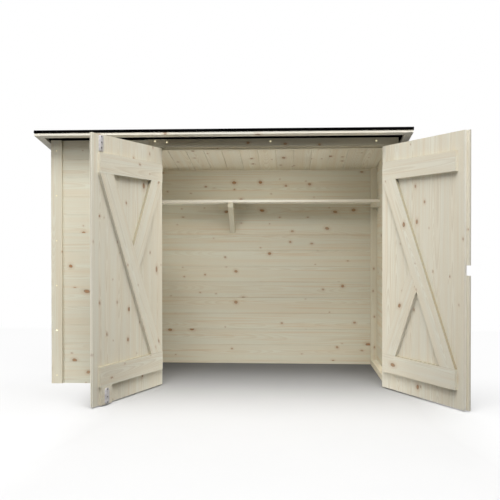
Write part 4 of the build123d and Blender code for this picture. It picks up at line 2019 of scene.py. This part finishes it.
@dataclass(frozen=True)
class Floor:
    """White floor that keeps the shadows near the shed and turns into plain white away from it; in the
    doorway and inside the shed its tone is darker towards the back, as painted shadow.

    Attributes:
        size: length of its sides.
        plan: half the width and half the depth of the shed.
        bounce: how much light it throws back on the shed, close to it and away from it.
        reach: distances from the shed between which that changes.
        door: middle of the doorway, across.
        jambs: distances from there between which the floor of the doorway ends.
        back: depths between which it ends behind.
        mouth: depths between which its painted shadow fades.
        shade: its tone at the back and in front, as painted shadow.
        tone: tone of the floor beside it.
        speckle: scale and reach of its unevenness.
        rough: its roughness.
        glow: depths between which the floor beside the shed changes.
        share: its share of plain white in front and at the shed.
        away: distances beside and behind the shed between which it turns white.
        front: depths in front of it between which it turns white.
    """

    size: float = 60.0
    plan: Pair = (1.12, 0.40)
    bounce: Pair = (0.5, 0.06)
    reach: Pair = (0.1, 0.8)
    door: float = 0.33
    jambs: Pair = (0.85, 1.25)
    back: Pair = (0.02, 0.3)
    mouth: Pair = (-0.1, -1.9)
    shade: Pair = (0.10, 0.56)
    tone: float = 0.62
    speckle: Pair = (2.0, 0.02)
    rough: float = 0.9
    glow: Pair = (-1.7, -0.4)
    share: Pair = (0.5, 0.92)
    away: Pair = (0.1, 2.4)
    front: Pair = (-1.8, -4.5)

    def build(self) -> None:
        """Lay the floor and make its material."""
        bpy.ops.mesh.primitive_plane_add(size=self.size)
        ground = bpy.context.object
        ground.name = "floor"
        material = bpy.data.materials.new("floor_white")
        material.use_nodes = True
        tree = Tree(material.node_tree)
        place = tree.node("TexCoord").outputs["Object"]
        x, y, _ = tree.split(place)
        wide = tree.math("SUBTRACT", tree.math("ABSOLUTE", x), self.plan[0])
        path = tree.seen()
        beside = tree.step(tree.math("ABSOLUTE", tree.math("SUBTRACT", x, self.door)), *self.jambs)
        beside = tree.math("MAXIMUM", beside, tree.step(y, *self.back))
        # Seen rays get the tone with painted shadow in the doorway; other rays get the light that the floor
        # throws back.
        tone = tree.mix(path, self.thrown(tree, wide, y), self.painted_shadow_tone(tree, beside, y))
        tone = tree.sway(tree.noise(place, self.speckle[0]).outputs[0], self.speckle[1], tone)
        color = tree.node("CombineColor", {0: tone, 1: tone, 2: tone}).outputs[0]
        matt = tree.node("BsdfPrincipled", {"Base Color": color, "Roughness": self.rough})
        near = tree.math("MULTIPLY", beside, tree.step(y, *self.glow, self.share))
        away = tree.step(tree.math("MAXIMUM", wide, y), *self.away)
        far = tree.math("MAXIMUM", away, tree.step(y, *self.front))
        share = tree.math("MULTIPLY", tree.math("MAXIMUM", near, far), path)
        white = tree.node("Emission", {"Color": (1, 1, 1, 1), "Strength": 1.0})
        mixed = tree.node("MixShader", {0: share, 1: matt.outputs[0], 2: white.outputs[0]})
        tree.node("OutputMaterial", {"Surface": mixed.outputs[0]})
        ground.data.materials.append(material)

    def thrown(self, tree: Tree, wide: Socket, y: Socket) -> Socket:
        """Light that the floor throws back, by the distance from the shed.

        Args:
            tree: nodes of the material.
            wide: distance beside the shed.
            y: depth.

        Returns:
            The share of the light.
        """
        half = self.plan[1]
        deep = tree.math("SUBTRACT", tree.math("ABSOLUTE", tree.math("ADD", y, half)), half)
        return tree.step(tree.math("MAXIMUM", wide, deep), *self.reach, self.bounce)

    def painted_shadow_tone(self, tree: Tree, beside: Socket, y: Socket) -> Socket:
        """Tone of the floor, with painted shadow: darker in the doorway and inside the shed, most at the
        back.
        """
        return tree.mix(beside, tree.step(y, *self.mouth, self.shade), self.tone)


@dataclass
class Studio:
    """The camera of the picture, a white floor, soft lamps and white surroundings.

    Attributes:
        spot: place of the camera.
        yaw: turn of the camera to the left, in degrees.
        tilt: its tilt downwards.
        roll: its roll.
        lens: focal length, in millimetres.
        sensor: width of the sensor, in millimetres.
        ambient: strength of the light all round.
    """

    spot: Triple = (0.4429, -5.4678, 0.9539)
    yaw: float = 3.191
    tilt: float = 0.504
    roll: float = 0.02
    lens: float = 49.23
    sensor: float = 36.0
    ambient: float = 0.02

    LAMPS = (
        Lamp("overhead", (0.5, -3.8, 7.2), (0.1, -1.0, 0.6), (4.4, 2.6), 530.0),
        Lamp("ceiling", (0.3, -1.6, 5.6), (0.3, -1.6001, 0.0), (10.0, 10.0), 350.0),
        Lamp("front", (0.3, -6.8, 5.8), (0.2, -0.9, 0.6), (4.0, 1.6), 115.0),
        Lamp("left_floor", (-2.1, -2.5, 0.25), (-0.9, -0.9, 0.25), (0.8, 0.35), 11.0),
        Lamp("inside_left", (-0.74, -0.62, 0.60), (0.3, -1.0, 1.45), (0.2, 0.5), 2.5),
        Lamp("lintel", (0.25, -0.75, 1.56), (0.25, -0.30, 0.3), (1.0, 0.24), 4.0),
        Lamp("back", (0.3, 5.0, 5.6), (0.3, 0.0, 0.6), (4.0, 2.0), 90.0),
    )

    def build(self) -> None:
        """Set the camera, the floor, the lamps and the world."""
        bpy.context.scene.view_settings.view_transform = "Standard"
        self.camera()
        Floor().build()
        for lamp in self.LAMPS:
            lamp.hang()
        self.world()

    def camera(self) -> None:
        """Place the camera and point it."""
        bpy.ops.object.camera_add(location=self.spot)
        eye = bpy.context.object
        eye.data.lens = self.lens
        eye.data.sensor_width = self.sensor
        eye.rotation_euler = [math.radians(value) for value in (90 - self.tilt, self.roll, self.yaw)]
        bpy.context.scene.camera = eye

    def world(self) -> None:
        """Light all round, seen as white."""
        world = bpy.data.worlds.new("studio")
        bpy.context.scene.world = world
        world.use_nodes = True
        tree = Tree(world.node_tree)
        seen = tree.seen()
        soft, white = (
            tree.node("Background", {"Color": (1, 1, 1, 1), "Strength": strength}).outputs[0]
            for strength in (self.ambient, 1.0)
        )
        mixed = tree.node("MixShader", {0: seen, 1: soft, 2: white})
        tree.node("OutputWorld", {"Surface": mixed.outputs[0]})


def main() -> None:
    """Build the shelter from the frame, dress it and light it."""
    logging.basicConfig(level=logging.INFO, format="%(name)s: %(message)s")
    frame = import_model()
    joints = {joint["name"]: joint for joint in frame["joints"]}
    pitch = Pitch.of_frame()
    Studio().build()
    Carcass(pitch).build()
    Trims(pitch).build()
    Roof(pitch).build()
    Shelf().build()
    wood_screws = Screws("shed_screws", YELLOW, "shed")
    header_screws = Screws("header_screws", YELLOW, "shed", radius=6.8 * MM, recess=1.4 * MM)
    fixings = Fixings(wood_screws, header_screws)
    fixings.build()
    plate_screws = Screws("hinge_plate_screws", ZINC, "shed")
    leaves = {}
    for side, seed in (("left", 53), ("right", 67)):
        leaf = leaves[side] = Leaf(side, joints[side + "_door_hinge"], random.Random(seed))
        leaf.build()
        board_screws = Screws(leaf.body + "_board_screws", YELLOW, leaf.body)
        fixings.leaf(leaf, board_screws)
        strap_screws = Screws(leaf.body + "_strap_screws", ZINC, leaf.body)
        StrapHinges(leaf, strap_screws, plate_screws).build()
        if side == "left":
            # Dark heads: two blued screws and, between them, painted shade for a thumb hole.
            bolt_screws_and_hole_shade = Screws("bolt_screws_and_hole_shade", BLUED_AND_HOLE_SHADE, leaf.body, radius=5.0 * MM, recess=2.6 * MM)
            Bolt(leaf, "top_bolt", bolt_screws_and_hole_shade, 4 * MM, (0.24, 0.56, 0.92)).build()
            Bolt(leaf, "bottom_bolt", bolt_screws_and_hole_shade, 19 * MM, (0.12, 0.46, 0.93)).build()
            bolt_screws_and_hole_shade.build()
        board_screws.build()
        strap_screws.build()
    plate_screws.build()
    wood_screws.build()
    header_screws.build()
    CoverStrip(leaves["right"]).build()


if __name__ == "__main__":
    main()
